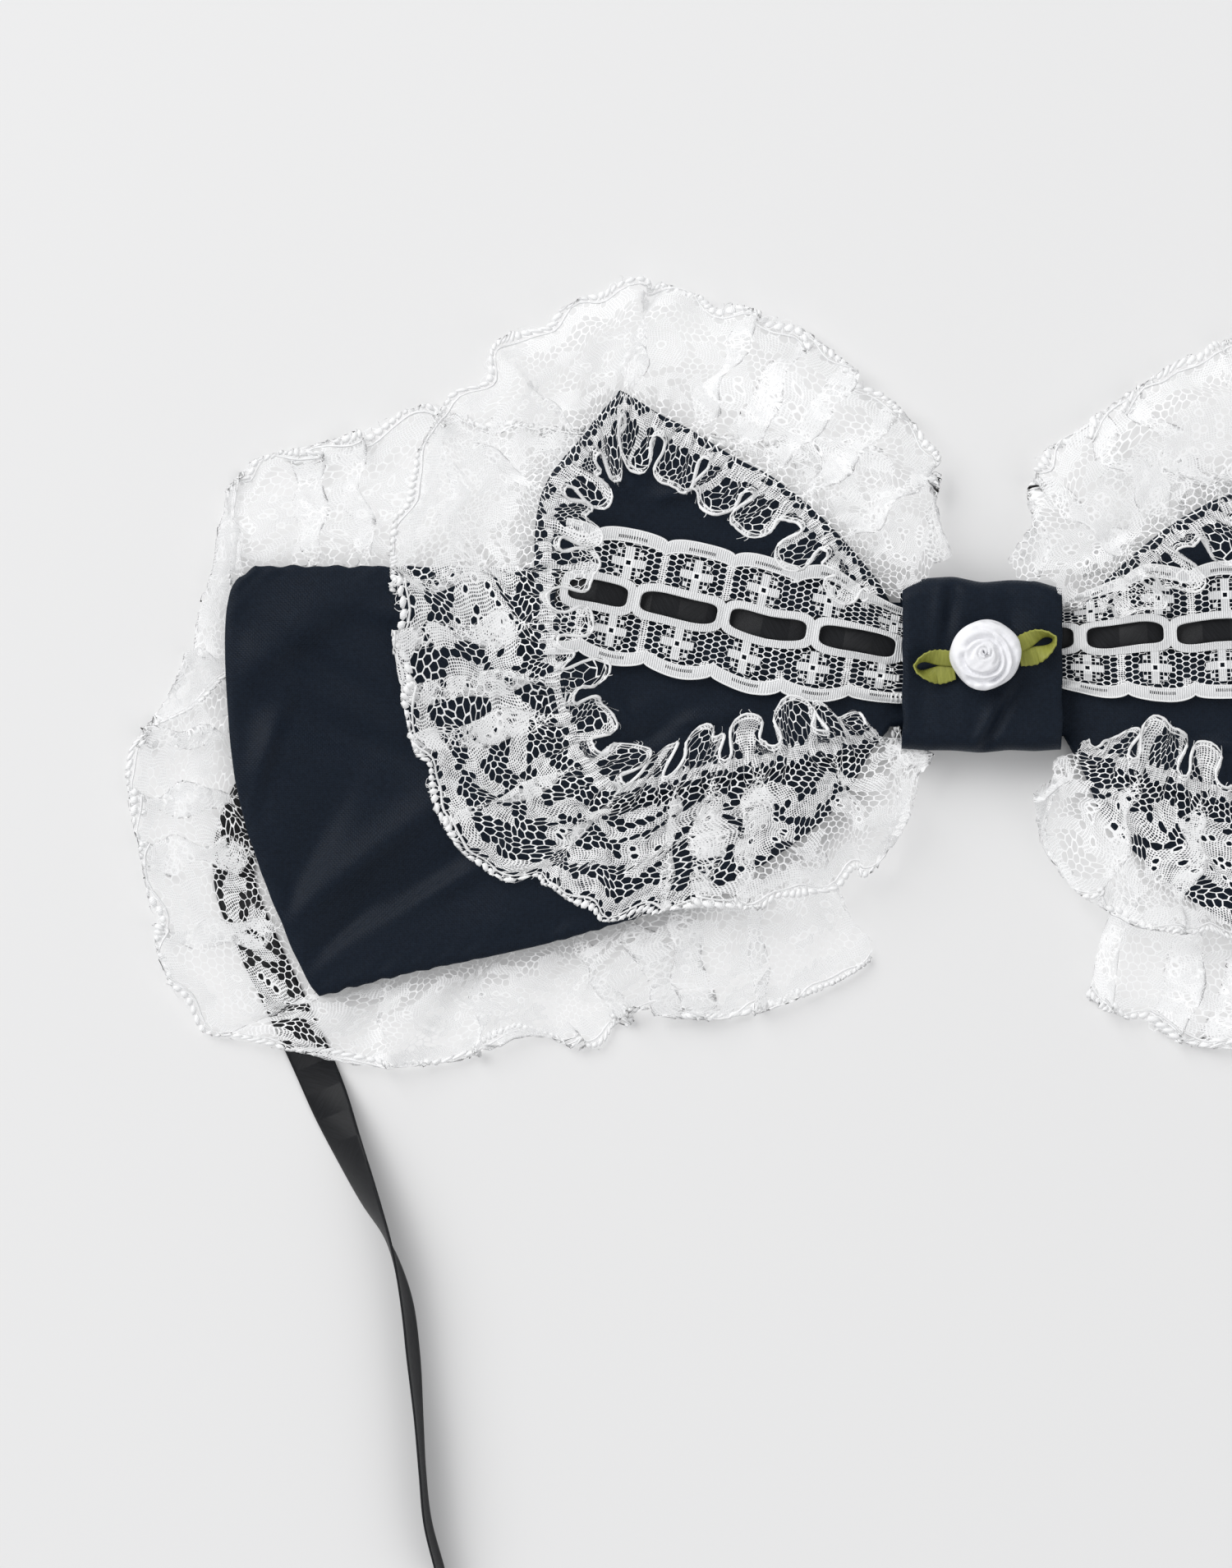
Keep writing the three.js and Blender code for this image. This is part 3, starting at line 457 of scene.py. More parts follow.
def knot_skin(inset):
    """One skin of the knot: columns across its width, rows round its section."""
    at = np.linspace(-1, 1, 72)
    high = KNOT_HEIGHT / 2 * np.interp(at, KNOT_EDGES[:, 0], KNOT_EDGES[:, 1]) - inset
    low = inset - KNOT_HEIGHT / 2 * np.interp(at, KNOT_EDGES[:, 0], KNOT_EDGES[:, 2])
    smooth = np.hanning(11)[1:-1] / np.hanning(11).sum()
    high, low = (np.convolve(np.pad(edge, 4, mode="edge"), smooth, "valid") for edge in (high, low))
    corner = KNOT_CORNER - inset
    arc = np.radians(np.linspace(0, 90, 9))
    rows = []
    for edge, turn in ((high, 270), (high, 0), (low, 90), (low, 180)):
        middle = edge - corner if turn in (270, 0) else edge + corner
        level = inset + corner if turn in (270, 180) else KNOT_DEPTH - inset - corner
        for angle in arc + math.radians(turn):
            rows.append((middle + corner * math.cos(angle), np.full_like(at, level + corner * math.sin(angle))))
        if turn == 0:
            for share in np.linspace(0, 1, 62)[1:-1]:
                y = (high - corner) * (1 - share) + (low + corner) * share
                rows.append((y, np.full_like(at, KNOT_DEPTH - inset)))
    y, z = (np.stack([row[k] for row in rows], axis=1) for k in (0, 1))
    x = np.broadcast_to(at[:, None] * KNOT_WIDTH / 2, y.shape)
    front = smoothstep(z, KNOT_DEPTH - KNOT_CORNER - 1, KNOT_DEPTH - inset)
    crumple, sway = waves(41, 4, 22, 8), waves(42, 4, 24, 9)
    rise = (knot_crease(x, y) + 0.25 * crumple(x + 0.4 * y) * sway(y)) * front
    edge = 0.35 * smoothstep(np.abs(at), 0.93, 1)[:, None] * front
    pucker = waves(43, 4, 12, 5)
    x = x + 0.2 * np.abs(at[:, None]) ** 8 * pucker(y)
    return np.stack([x, y, z + rise - edge], axis=-1)


def knot_band(finish):
    points, groups = closed_wall(knot_skin(0), knot_skin(KNOT_WALL), ring_rows=True)
    piece = mesh_piece("knot_band", points, groups, [finish], "black_cotton", ["knot_band"])


# Lace in the flat: parts have points of s along the lace, t across it and n out of its face.
THREAD, CLOTH, CORD, RIB = 0, 1, 2, 3


def net(span, cell, keep, opening, seed):
    """A honeycomb of threads. A cell's opening is the share of it that stays open, 0 in the cloth."""
    (s_low, s_high), (t_low, t_high) = span
    long, wide = cell
    rows = np.arange(math.floor(s_low / (0.75 * long)), math.ceil(s_high / (0.75 * long)) + 1)
    columns = np.arange(math.floor(t_low / wide) - 1, math.ceil(t_high / wide) + 1)
    i, j = (grid.ravel() for grid in np.meshgrid(columns, rows, indexing="ij"))
    s_number, t_number = 3 * j, 2 * i + j % 2
    s, t = s_number * long / 4, t_number * wide / 2
    kept = keep(s, t)
    s_number, t_number, s, t = s_number[kept], t_number[kept], s[kept], t[kept]
    corners = np.array([(2, 0), (1, 1), (-1, 1), (-2, 0), (-1, -1), (1, -1)])
    s_corner, t_corner = s_number[:, None] + corners[:, 0], t_number[:, None] + corners[:, 1]
    spread = 100000
    keys, index = np.unique(s_corner * spread + t_corner + spread // 2, return_inverse=True)
    index = index.reshape(s_corner.shape)
    draw = np.random.default_rng(seed)
    outer = np.stack([(keys // spread) * long / 4, (keys % spread - spread // 2) * wide / 2], axis=1)
    outer = outer + draw.uniform(-0.09, 0.09, outer.shape) * wide
    share = opening(s, t)
    share = np.where(share > 0, share + draw.uniform(-0.05, 0.05, share.shape), 0)
    middle = outer[index].mean(axis=1)
    is_open = share > 0
    inner = middle[is_open][:, None] + (outer[index[is_open]] - middle[is_open][:, None]) * share[is_open][:, None, None]
    ring = np.arange(6)
    inner_index = len(keys) + np.arange(is_open.sum() * 6).reshape(-1, 6)
    rims = np.stack([index[is_open], np.roll(index[is_open], -1, 1), np.roll(inner_index, -1, 1), inner_index], axis=2)
    closed = index[~is_open]
    centre_index = np.broadcast_to(len(keys) + is_open.sum() * 6 + np.arange(len(closed))[:, None], (len(closed), 6))
    fans = np.stack([closed[:, ring], closed[:, (ring + 1) % 6], centre_index], axis=2)
    points = np.concatenate([outer, inner.reshape(-1, 2), middle[~is_open]])
    points = np.concatenate([points, np.zeros((len(points), 1))], axis=1)
    return points, [(rims.reshape(-1, 4), THREAD), (fans.reshape(-1, 3), CLOTH)]


def cord(course, width, height, sides=6, closed=False, rib=0, number=CORD):
    """A flattened cord along a course in the flat, ribbed at each second of its points."""
    if closed:
        tangent = np.roll(course, -1, 0) - np.roll(course, 1, 0)
    else:
        tangent = np.gradient(course, axis=0)
    tangent /= np.linalg.norm(tangent, axis=1, keepdims=True)
    normal = np.stack([-tangent[:, 1], tangent[:, 0]], axis=1)
    angle = np.linspace(0, 2 * math.pi, sides, endpoint=False)
    thickness = 1 + rib * (np.arange(len(course)) % 2)[:, None]
    sideways = width / 2 * np.cos(angle) * np.ones_like(thickness)
    outward = height / 2 * np.sin(angle) * thickness
    places = course[:, None] + normal[:, None] * sideways[..., None]
    points = np.concatenate([places, outward[..., None]], axis=2).reshape(-1, 3)
    return points, [(grid_faces(len(course), sides, ring_columns=closed, ring_rows=True)[:, ::-1], number)]


def beads(places, headings, size):
    """Small rounded beads of thread at places in the flat, each turned by its heading."""
    around = np.linspace(0, 2 * math.pi, 6, endpoint=False)
    shape = [(0, 0, -1)]
    for level in (-0.6, 0, 0.6):
        radius = math.sqrt(1 - level**2)
        shape += [(radius * math.cos(a), radius * math.sin(a), level) for a in around]
    shape = np.array([*shape, (0, 0, 1)]) * np.array(size) / 2
    cos, sin = np.cos(headings)[:, None], np.sin(headings)[:, None]
    s = places[:, :1] + shape[:, 0] * cos - shape[:, 1] * sin
    t = places[:, 1:] + shape[:, 0] * sin + shape[:, 1] * cos
    n = np.broadcast_to(shape[:, 2], s.shape)
    ring = np.arange(6)
    bands = grid_faces(3, 6, ring_rows=True)[:, ::-1] + 1
    caps = [np.stack([np.zeros(6, int), (ring + 1) % 6 + 1, ring + 1], axis=1),
            np.stack([np.full(6, 19), ring + 13, (ring + 1) % 6 + 13], axis=1)]
    first = np.arange(len(places))[:, None, None] * len(shape)
    return np.stack([s, t, n], axis=2).reshape(-1, 3), [
        ((bands[None] + first).reshape(-1, 4), CORD),
        ((np.concatenate(caps)[None] + first).reshape(-1, 3), CORD),
    ]


def in_ellipse(s, t, centre, size, heading):
    """Squared distance from an ellipse's middle, 1 on its edge."""
    turn = math.radians(heading)
    along = (s - centre[0]) * math.cos(turn) + (t - centre[1]) * math.sin(turn)
    across = (t - centre[1]) * math.cos(turn) - (s - centre[0]) * math.sin(turn)
    return (along / size[0]) ** 2 + (across / size[1]) ** 2


# Motifs in each repeat of the frill's lace, in millimetres: two roses, then leaves with a heading
ROSES = [((13.5, 16.5), (8.2, 6.8)), ((40.5, 18), (6.4, 5.8))]
LEAVES = [
    ((25.5, 12), (5.5, 2.4), 35), ((2.5, 10.5), (5, 2.2), -40), ((30, 22), (4.5, 2.1), -35),
    ((51, 14), (5.5, 2.3), 25), ((23.5, 22.5), (4.2, 2), 30), ((49.5, 22.5), (4, 2), -25),
    ((34, 8.5), (4.5, 1.9), -15), ((45, 8), (4.5, 1.9), 15),
]


def scallop_edge(s, width):
    return width - SCALLOP_DEPTH * (0.5 - 0.5 * np.cos(2 * math.pi * s / SCALLOP_PITCH))


def frill_opening(s, t, width):
    """How open the frill's lace is at a place: net, roses, leaves, a stem and a border of cloth."""
    here = s % REPEAT
    share = np.full_like(s, CELL_OPEN)
    stem = 11.5 + 3 * np.sin(2 * math.pi * (here + 4) / (REPEAT / 2))
    share[np.abs(t - stem) < 0.9] = 0
    for centre, size, heading in LEAVES:
        inside = in_ellipse(here, t, centre, size, heading)
        share[inside < 1] = 0
        share[(inside >= 1) & (inside < 1.5)] = 0.89
    for centre, size in ROSES:
        inside = in_ellipse(here, t, centre, size, 0)
        share[inside < 1] = 0
        share[(inside >= 0.42) & (inside < 0.6)] = 0.6
        share[inside < 0.05] = 0.7
        share[(inside >= 1) & (inside < 1.28)] = 0.89
    inset = scallop_edge(s, width) - t
    share[(inset > 2.7) & (inset < 5.9)] = 0
    share[inset <= 2.7] = 0.88
    share[(t > -1) & (t < 1.4 + 1.3 * np.sin(2 * math.pi * s / 13) * np.sin(2 * math.pi * s / 47))] = 0
    return share


def heading_opening(s, t):
    """How open the heading's lace is: net that grows wider in each loop, with a close edge."""
    depth = -t
    share = np.full_like(s, CELL_OPEN + 0.04)
    share[np.cos(2 * math.pi * s / (REPEAT / 3)) + 0.35 * np.cos(2 * math.pi * s / 7) < -0.75] = 0
    share[(depth > HEADING_WIDTH - 1.9) | (depth < 1.4)] = 0
    return share


def thread_tails(places, headings, seed):
    """Short cut threads that stand out from an edge, each bent a little."""
    draw = np.random.default_rng(seed)
    parts = []
    for place, heading in zip(places, headings):
        bend, reach = draw.uniform(-0.7, 0.7), draw.uniform(0.9, 2.3)
        share = np.linspace(0, 1, 5)
        turn = heading + draw.uniform(-0.6, 0.6) + bend * share
        course = place + np.stack([share * reach * np.cos(turn), share * reach * np.sin(turn)], axis=1)
        parts.append(cord(course, 0.16, 0.16, sides=3, number=THREAD))
    return parts


def frill_lace(length, width, has_heading, seed):
    """The whole flat lace of one ruffle."""
    low = -HEADING_WIDTH if has_heading else 0

    def keep(s, t):
        inset = scallop_edge(s, width) - t
        loops = 1.3 * (np.cos(2 * math.pi * s / SCALLOP_PITCH) < -0.55)
        return (t > low + 0.4) & (inset > 0.3 - loops) & (s > 0) & (s < length)

    def opening(s, t):
        return np.where(t < 0, heading_opening(s, t), frill_opening(s, t, width))

    s = np.arange(0, length, 0.2)
    edge = np.stack([s, scallop_edge(s, width)], axis=1)
    count = int(lengths_along(edge)[-1] / BEAD_PITCH)
    places = along_line(edge, np.linspace(0, 1, count))
    slant = np.arctan2(*np.gradient(places, axis=0).T[::-1]) + math.radians(50)
    parts = [
        net(((0, length), (low, width)), (CELL_LONG, CELL_WIDE), keep, opening, seed),
        beads(places, slant, (BEAD_PITCH * 1.15, BEAD_WIDTH, 1.2)),
        cord(along_line(edge, np.linspace(0, 1, count)) - (0, 1.5), 0.55, 0.5, sides=4),
    ]
    draw = np.random.default_rng(seed + 5)
    valleys = np.arange(0.5, math.floor(length / SCALLOP_PITCH)) * SCALLOP_PITCH
    tail_s = (valleys[:, None] + draw.normal(0, 2.2, (len(valleys), 6))).ravel()
    tail_places = np.stack([tail_s, scallop_edge(tail_s, width) + 0.5], axis=1)
    parts += thread_tails(tail_places, np.full(len(tail_s), math.pi / 2), seed + 6)
    if has_heading:
        s = np.arange(0, length, 0.9)
        waviness = 0.12 * np.sin(2 * math.pi * s / 3.3)
        parts.append(cord(np.stack([s, low + 0.3 + waviness], axis=1), 0.85, 0.75, sides=6))
        parts.append(cord(np.stack([s, low + 1.7 + 0 * s], axis=1), 0.45, 0.4, sides=4))
        tail_s = draw.uniform(0, length, 70)
        tail_places = np.stack([tail_s, np.full(len(tail_s), low)], axis=1)
        parts += thread_tails(tail_places, np.full(len(tail_s), -math.pi / 2), seed + 7)
    return joined(parts)


# Draping

def seam_line(outline):
    """The seam of a ruffle: its panel's edge, drawn in by the seam's inset."""
    edges = fan_edges(outline)
    samples = np.linspace(0, 1, 241)
    edge = np.concatenate([
        along_line(edges["top"], samples), along_line(edges["outer"], samples)[1:],
        along_line(edges["bottom"], samples)[::-1][1:],
    ])
    reach = 16
    index = np.arange(len(edge))
    tangent = edge[np.minimum(index + reach, len(edge) - 1)] - edge[np.maximum(index - reach, 0)]
    tangent /= np.linalg.norm(tangent, axis=1, keepdims=True)
    return edge + SEAM_INSET * np.stack([tangent[:, 1], -tangent[:, 0]], axis=1)


def smoothed(values, reach):
    window = np.hanning(2 * reach + 3)[1:-1]
    return np.convolve(np.pad(values, reach, mode="edge"), window / window.sum(), "valid")


def frill_spread(outline, frill, frill_width):
    """Functions of a ruffle's seam share and distance that give a place on the wing, laid out flat,
    and how far that place is folded under. Where a frill reaches less, its edge is turned under it."""
    seam = seam_line(outline)
    shares = np.linspace(0, 1, 1001)
    line = np.stack([smoothed(column, 10) for column in along_line(seam, shares).T], axis=1)
    reach = smoothed(np.interp(shares, frill[:, 0], frill[:, 1]), 8)
    lean = smoothed(np.radians(np.interp(shares, frill[:, 0], frill[:, 2])), 8)
    drop = smoothed(np.interp(shares, frill[:, 0], frill[:, 3]), 8)

    def place(along, distance):
        base = np.stack([np.interp(along, shares, column) for column in line.T], axis=-1)
        turn = np.interp(along, shares, lean)
        reached = np.interp(along, shares, reach)
        far = np.where(distance > 0, distance * np.maximum(reached, LEAST_REACH), distance)
        under = np.maximum(far - reached * frill_width, 0)
        direction = np.stack([np.sin(turn), np.cos(turn)], axis=-1)
        return base + direction * (far - 2 * under)[..., None], smoothstep(under, 0, 2)

    return place, lambda along: np.interp(along, shares, drop), lengths_along(line)[-1]


def meander(fullness):
    """One loop of a gathered edge as a function of its phase: how far it swings along the seam and
    in from it, as shares of the loop's flat length. The inner bends are the wider ones."""
    phase = np.linspace(0, 1, 201)
    wave = np.sin(2 * math.pi * (phase + LOOP_BULGE * np.sin(2 * math.pi * phase)))
    turns = np.linspace(0, 2.3, 47)
    spans = np.array([np.cos(turn * wave)[:-1].mean() for turn in turns])
    turn = np.interp(-1 / fullness, -spans, turns)
    forward = np.concatenate([[0], np.cumsum(np.cos(turn * wave)[:-1])]) / 200
    inward = np.concatenate([[0], np.cumsum(np.sin(turn * wave)[:-1])]) / 200
    swing = forward - phase * forward[-1]
    inward -= inward.mean()
    return lambda loops: (np.interp(loops % 1, phase, swing), np.interp(loops % 1, phase, inward))


def pleat_wave(phase):
    """A knife pleat's sideways swing, from -1 to 1 over most of a pleat and back in the rest."""
    share = phase % 1
    forward = 0.72
    rising, falling = share / forward, (share - forward) / (1 - forward)
    straight = np.where(share < forward, 2 * rising - 1, 1 - 2 * falling)
    rounded = np.where(share < forward, -np.cos(math.pi * rising), np.cos(math.pi * falling))
    return 0.45 * straight + 0.55 * rounded


def tie_cover(out, up):
    route = np.array(TIE_ROUTE)
    nearest = np.min(np.hypot(out[..., None] - route[:, 0], up[..., None] - route[:, 1]), axis=-1)
    return 1 - smoothstep(nearest, 1.3 * TIE_WIDTH, 2 * TIE_WIDTH)


def ladder_line(x):
    out = np.maximum(np.abs(x) - KNOT_WIDTH / 2, 0) / BOW_LENGTH
    left, right = (np.interp(out, LADDER_COURSE[:, 0], LADDER_COURSE[:, k]) for k in (1, 2))
    mixed = np.clip(x / KNOT_WIDTH + 0.5, 0, 1)
    under = LADDER_COURSE[0, 1] * (1 - mixed) + LADDER_COURSE[0, 2] * mixed
    return BOW_HEIGHT * np.where(out > 0, np.where(x < 0, left, right), under)


def ladder_half(x, towards):
    free = smoothstep(np.abs(x), KNOT_WIDTH / 2, KNOT_WIDTH / 2 + 0.25 * BOW_LENGTH)
    held = np.where(towards > 0, 0.3, 0.4)
    return LADDER_WIDTH * (held * (1 - free) + 0.5 * free)


def ladder_cover(side, out, up):
    place = on_wing(side, out, up, 0.0)
    above = place[..., 1] - ladder_line(place[..., 0])
    beyond = np.abs(above) - ladder_half(place[..., 0], above) - LADDER_SCALLOP
    return 1 - smoothstep(beyond, LADDER_MARGIN, 1.5 * LADDER_MARGIN)


def ruffle(name, side, outline, frill, frill_width, has_heading, fullness, pleats, seed, finishes):
    """A gathered lace ruffle: the flat lace, pleated along its seam and laid over what is below it."""
    place, drop, seam_length = frill_spread(outline, frill, frill_width)
    first, last = frill[0, 0], frill[-1, 0]
    length = fullness * seam_length * (last - first)
    flat_width = frill_width * 1.06
    flat, groups = frill_lace(length, flat_width, has_heading, seed)
    draw = np.random.default_rng(seed + 100)
    widths = draw.uniform(0.6, 1.4, pleats)
    marks = np.concatenate([[0], np.cumsum(widths)]) * length / widths.sum()
    middles = (marks[1:] + marks[:-1]) / 2
    depths, heights = draw.uniform(0.8, 1.25, pleats), draw.uniform(0.5, 1.05, pleats)
    jogs = draw.uniform(-1.6, 1.2, pleats + 2)
    skew, sway, crumple = waves(seed + 1, 3, 160, 60), waves(seed + 2, 4, 45, 14), waves(seed + 3, 4, 26, 9)
    stir, fade = waves(seed + 4, 5, 30, 9), waves(seed + 7, 4, 60, 25)
    loop_shape = meander(fullness)
    loop_count = round(length / (fullness * HEADING_LOOP))
    small = 5 * pleats / length

    def surface(s, t):
        inner = smoothstep(np.abs(t), 0, 8)
        s = np.clip(s + 1.2 * inner * stir(0.5 * s + 1.7 * t), 0, length)
        t = t + 0.8 * smoothstep(t, 2, 12) * stir(1.3 * s - 0.6 * t)
        along = first + (last - first) * s / length
        distance = t * frill_width / flat_width
        here, _ = place(along, distance)
        nudge = 0.002
        ahead, _ = place(along + nudge, distance)
        tangent = ahead - here
        stretch = np.linalg.norm(tangent, axis=-1)
        density = np.clip(stretch / nudge * (last - first) / length, 0, 1)
        tangent = tangent / np.maximum(stretch, 1e-6)[..., None]
        phase = np.interp(s + 0.22 * t * skew(s), marks, np.arange(pleats + 1))
        wave = pleat_wave(phase)
        grown = smoothstep(t, 0, 11)
        depth = np.interp(s, middles, depths) * (0.85 + 0.25 * fade(s + 2 * t))
        swing = (1 - density) * 0.38 * length / pleats * depth * wave * grown
        gathers = 2 * math.pi * (5 * phase + 0.3 * sway(s))
        near = np.exp(-((np.maximum(t, 0) / 9) ** 2))
        inward = smoothstep(-t, 0, 0.8 * HEADING_WIDTH)
        whole = np.clip(np.floor(phase).astype(int), 0, pleats)
        jog = jogs[whole] + (jogs[whole + 1] - jogs[whole]) * smoothstep(phase - whole, 0.7, 1)
        ends = smoothstep(s, 0, 30) * smoothstep(length - s, 0, 30)
        swing = swing + (1 - density) * 0.17 / small * np.sin(gathers) * (near + 0.12) * (1 - inward)
        loop_swing, loop_reach = loop_shape(s * loop_count / length + 0.12 * sway(s))
        loop_length = length / loop_count
        swing = swing + loop_swing * loop_length * inward
        reach = (t * 0.7 - loop_reach * loop_length * inward * (0.9 + 0.28 * crumple(0.7 * s))) * (0.5 + 0.5 * ends)
        farther = distance * (1 + 0.045 * sway(s) * grown) + jog * grown * smoothstep(t, 8, 26)
        spot, under = place(along, np.where(t < 0, reach, farther))
        spot = spot + tangent * (swing + 0.5 * crumple(t + 0.3 * s) * grown)[..., None]
        out, up = spot[..., 0], spot[..., 1]
        rise = np.interp(s, middles, heights)
        free = smoothstep(distance, SEAM_INSET, SEAM_INSET + 12)
        if has_heading:
            ladder = ladder_cover(side, out, up) * (LADDER_TOP - BOW_TOP)
            sewn = BOW_TOP + lift_at(out) + ladder + GAP + 1.2
            sewn = sewn + inward * np.clip(0.8 - 13 * loop_reach, 0, 4)
            free_low = BASE_TOP + FAN_LIFT + 2 * GAP
            sunk = drop(along) * smoothstep(distance / frill_width, 0.65, 1)
            swell = 2.1 * rise
            laid = free_low * (1 - sunk) + GAP + swell + 0.6
            held = KNOT_HEIGHT / 2 + 1
            beside = smoothstep(-np.abs(up), -held - 3, -held) * inward
            out = out + beside * (np.logaddexp(0, (out - KNOT_CLEAR) * 1.5) / 1.5 + KNOT_CLEAR - out)
        else:
            sewn = BASE_LOW + lift_at(out) - GAP - 1.0
            over = tie_cover(out, up) * (1 + GAP)
            swell = 2.0 * rise - over / 2
            laid = 0.8 + swell + over
        height = sewn * (1 - free) + laid * free - wave * swell * free * (1 - 0.5 * under) - 0.5 * under
        height = height + 0.45 * np.cos(gathers) * near * (1 - inward) * (1 - 0.5 * free)
        height = height + 0.25 * crumple(s + 0.7 * t) * grown
        return on_wing(side, out, up, np.maximum(height, 0.35))

    s, t, n = flat.T
    points = surface(s, t)
    step = 0.15
    normal = np.cross(surface(s + step, t) - surface(s - step, t), surface(s, t + step) - surface(s, t - step))
    normal *= side / np.maximum(np.linalg.norm(normal, axis=1, keepdims=True), 1e-9)
    points = points + normal * n[:, None]
    points[:, 2] = np.maximum(points[:, 2], 0.05)
    groups = [(faces[:, ::side], number) for faces, number in groups]
    piece = mesh_piece(name, points, groups, finishes, "white_lace", [name], flat[:, :2])


# Ladder lace

def slot_spans():
    """Start and end of each slot along X."""
    end = KNOT_WIDTH / 2 + LADDER_REACH
    margin = LADDER_PITCH - SLOT_LENGTH
    bars = math.ceil(end / LADDER_PITCH)
    spans = []
    for bar in range(-bars, bars):
        start = max(LADDER_SHIFT + bar * LADDER_PITCH + margin / 2, margin - end)
        stop = min(LADDER_SHIFT + (bar + 1) * LADDER_PITCH - margin / 2, end - margin)
        if stop - start >= 3 * SLOT_ROUND:
            spans.append((start, stop))
    return spans


def slot_course(start, stop, grow):
    """A slot's outline with round ends, grown outwards."""
    half, middle = SLOT_HEIGHT / 2 + grow, (start + stop) / 2
    long = (stop - start) / 2 + grow
    angle = np.linspace(0, 2 * math.pi, 65)[:-1]
    cos, sin = np.cos(angle), np.sin(angle)
    return np.stack([
        middle + long * np.sign(cos) * np.abs(cos) ** 0.45, half * np.sign(sin) * np.abs(sin) ** 0.5,
    ], axis=1)


def slot_rim(start, stop):
    """The flat ribbed rim of a slot, raised a little along its inner edge."""
    rings = [(0, 0.1), (0.12, 0.4), (0.35, 0.3), (SLOT_RIM, 0.12)]
    rows = []
    for grow, rise in rings:
        course = slot_course(start, stop, grow)
        rows.append(np.concatenate([course, np.full((len(course), 1), rise)], axis=1))
    grid = np.stack(rows, axis=1)
    return grid.reshape(-1, 3), [(grid_faces(len(grid), len(rings), ring_columns=True)[:, ::-1], RIB)]


def ladder_border(x):
    """Half the width of the flat ladder lace, scalloped along its edges."""
    shares = (x - LADDER_SHIFT) / FLOWER_PITCH % 1
    return LADDER_WIDTH / 2 + LADDER_SCALLOP * (2 * np.sqrt(np.sin(math.pi * shares)) - 1.1)


def ladder_flower(x, across):
    """Distances from the middle of the nearest flower of the ladder lace, along it and across it."""
    along = (x - LADDER_SHIFT + np.where(across > 0, 0, 1.2)) % FLOWER_PITCH - FLOWER_PITCH / 2
    return along, np.abs(across) - FLOWER_MIDDLE


def ladder_opening(x, across):
    """How open the ladder lace's net is: closed between its arches."""
    along, upward = ladder_flower(x, across)
    divider = 0.35 + 0.06 * np.maximum(upward, 0) ** 2
    return np.where(FLOWER_PITCH / 2 - np.abs(along) < divider, 0, 0.87)


def flower_chart():
    """Marks of the ladder's flower chart, and the lines between its rows and its columns."""
    marks = np.array([list(row) for row in FLOWER_CHART])
    steps = FLOWER_HEART / 2 + FLOWER_CELL * np.arange(len(marks) // 2 + 1)
    return marks, np.concatenate([-steps[::-1], steps])


def flower_squares(middles):
    """Woven squares of the ladder's flowers, and the thin frames of the open ones."""
    marks, lines = flower_chart()
    rows, columns = np.nonzero(marks != " ")
    woven = marks[rows, columns] == "#"
    centres = (lines[1:] + lines[:-1]) / 2
    squares = np.stack([centres[columns], -centres[rows]], axis=1)
    sizes = np.stack([np.diff(lines)[columns], np.diff(lines)[rows]], axis=1)
    corners = np.array([(-1, -1), (1, -1), (1, 1), (-1, 1)]) / 2
    hole = np.where(marks[rows, columns] == "o", 0.55, 0.84)[:, None, None]
    points = []
    for scale in (1.03, hole):
        places = middles[:, None, None] + squares[None, :, None] + corners * sizes[:, None] * scale
        points.append(np.concatenate([places, np.full((*places.shape[:3], 1), 0.06)], axis=3).reshape(-1, 3))
    total = len(points[0])
    index = np.arange(total).reshape(len(middles), -1, 4)
    faces = index[:, woven].reshape(-1, 4)
    outer = index[:, ~woven].reshape(-1, 4)
    frames = np.stack([outer, np.roll(outer, -1, 1), np.roll(outer, -1, 1) + total, outer + total], axis=2)
    return np.concatenate(points), [(faces, RIB), (frames.reshape(-1, 4), THREAD)]


def ladder_surface(points):
    """Ladder lace from the flat, s along X and t across, onto the bow."""
    x, across, n = points.T
    edge = SLOT_HEIGHT / 2
    half = ladder_half(x, across)
    squeeze = (half - edge) / (LADDER_WIDTH / 2 - edge)
    beyond = np.maximum(np.abs(across) - edge, 0)
    across = np.where(np.abs(across) > edge, np.sign(across) * (edge + beyond * squeeze), across)
    slope = np.arctan2(ladder_line(x + 1) - ladder_line(x - 1), 2)
    puff, sway = waves(61, 4, 40, 12), waves(62, 4, 30, 9)
    ruck = smoothstep(-np.abs(x), -KNOT_WIDTH / 2 - 18, -KNOT_WIDTH / 2)
    height = (LADDER_LOW + LADDER_TOP) / 2 + lift_at(np.abs(x) - KNOT_WIDTH / 2) + n
    height = height + 0.2 * puff(x) * sway(across + 0.3 * x) + 0.5 * ruck * np.sin(across * 2.2) * (beyond > 0)
    wobble = 0.35 * sway(x)
    return np.stack([x - across * np.sin(slope), ladder_line(x) + wobble + across * np.cos(slope), height], axis=1)


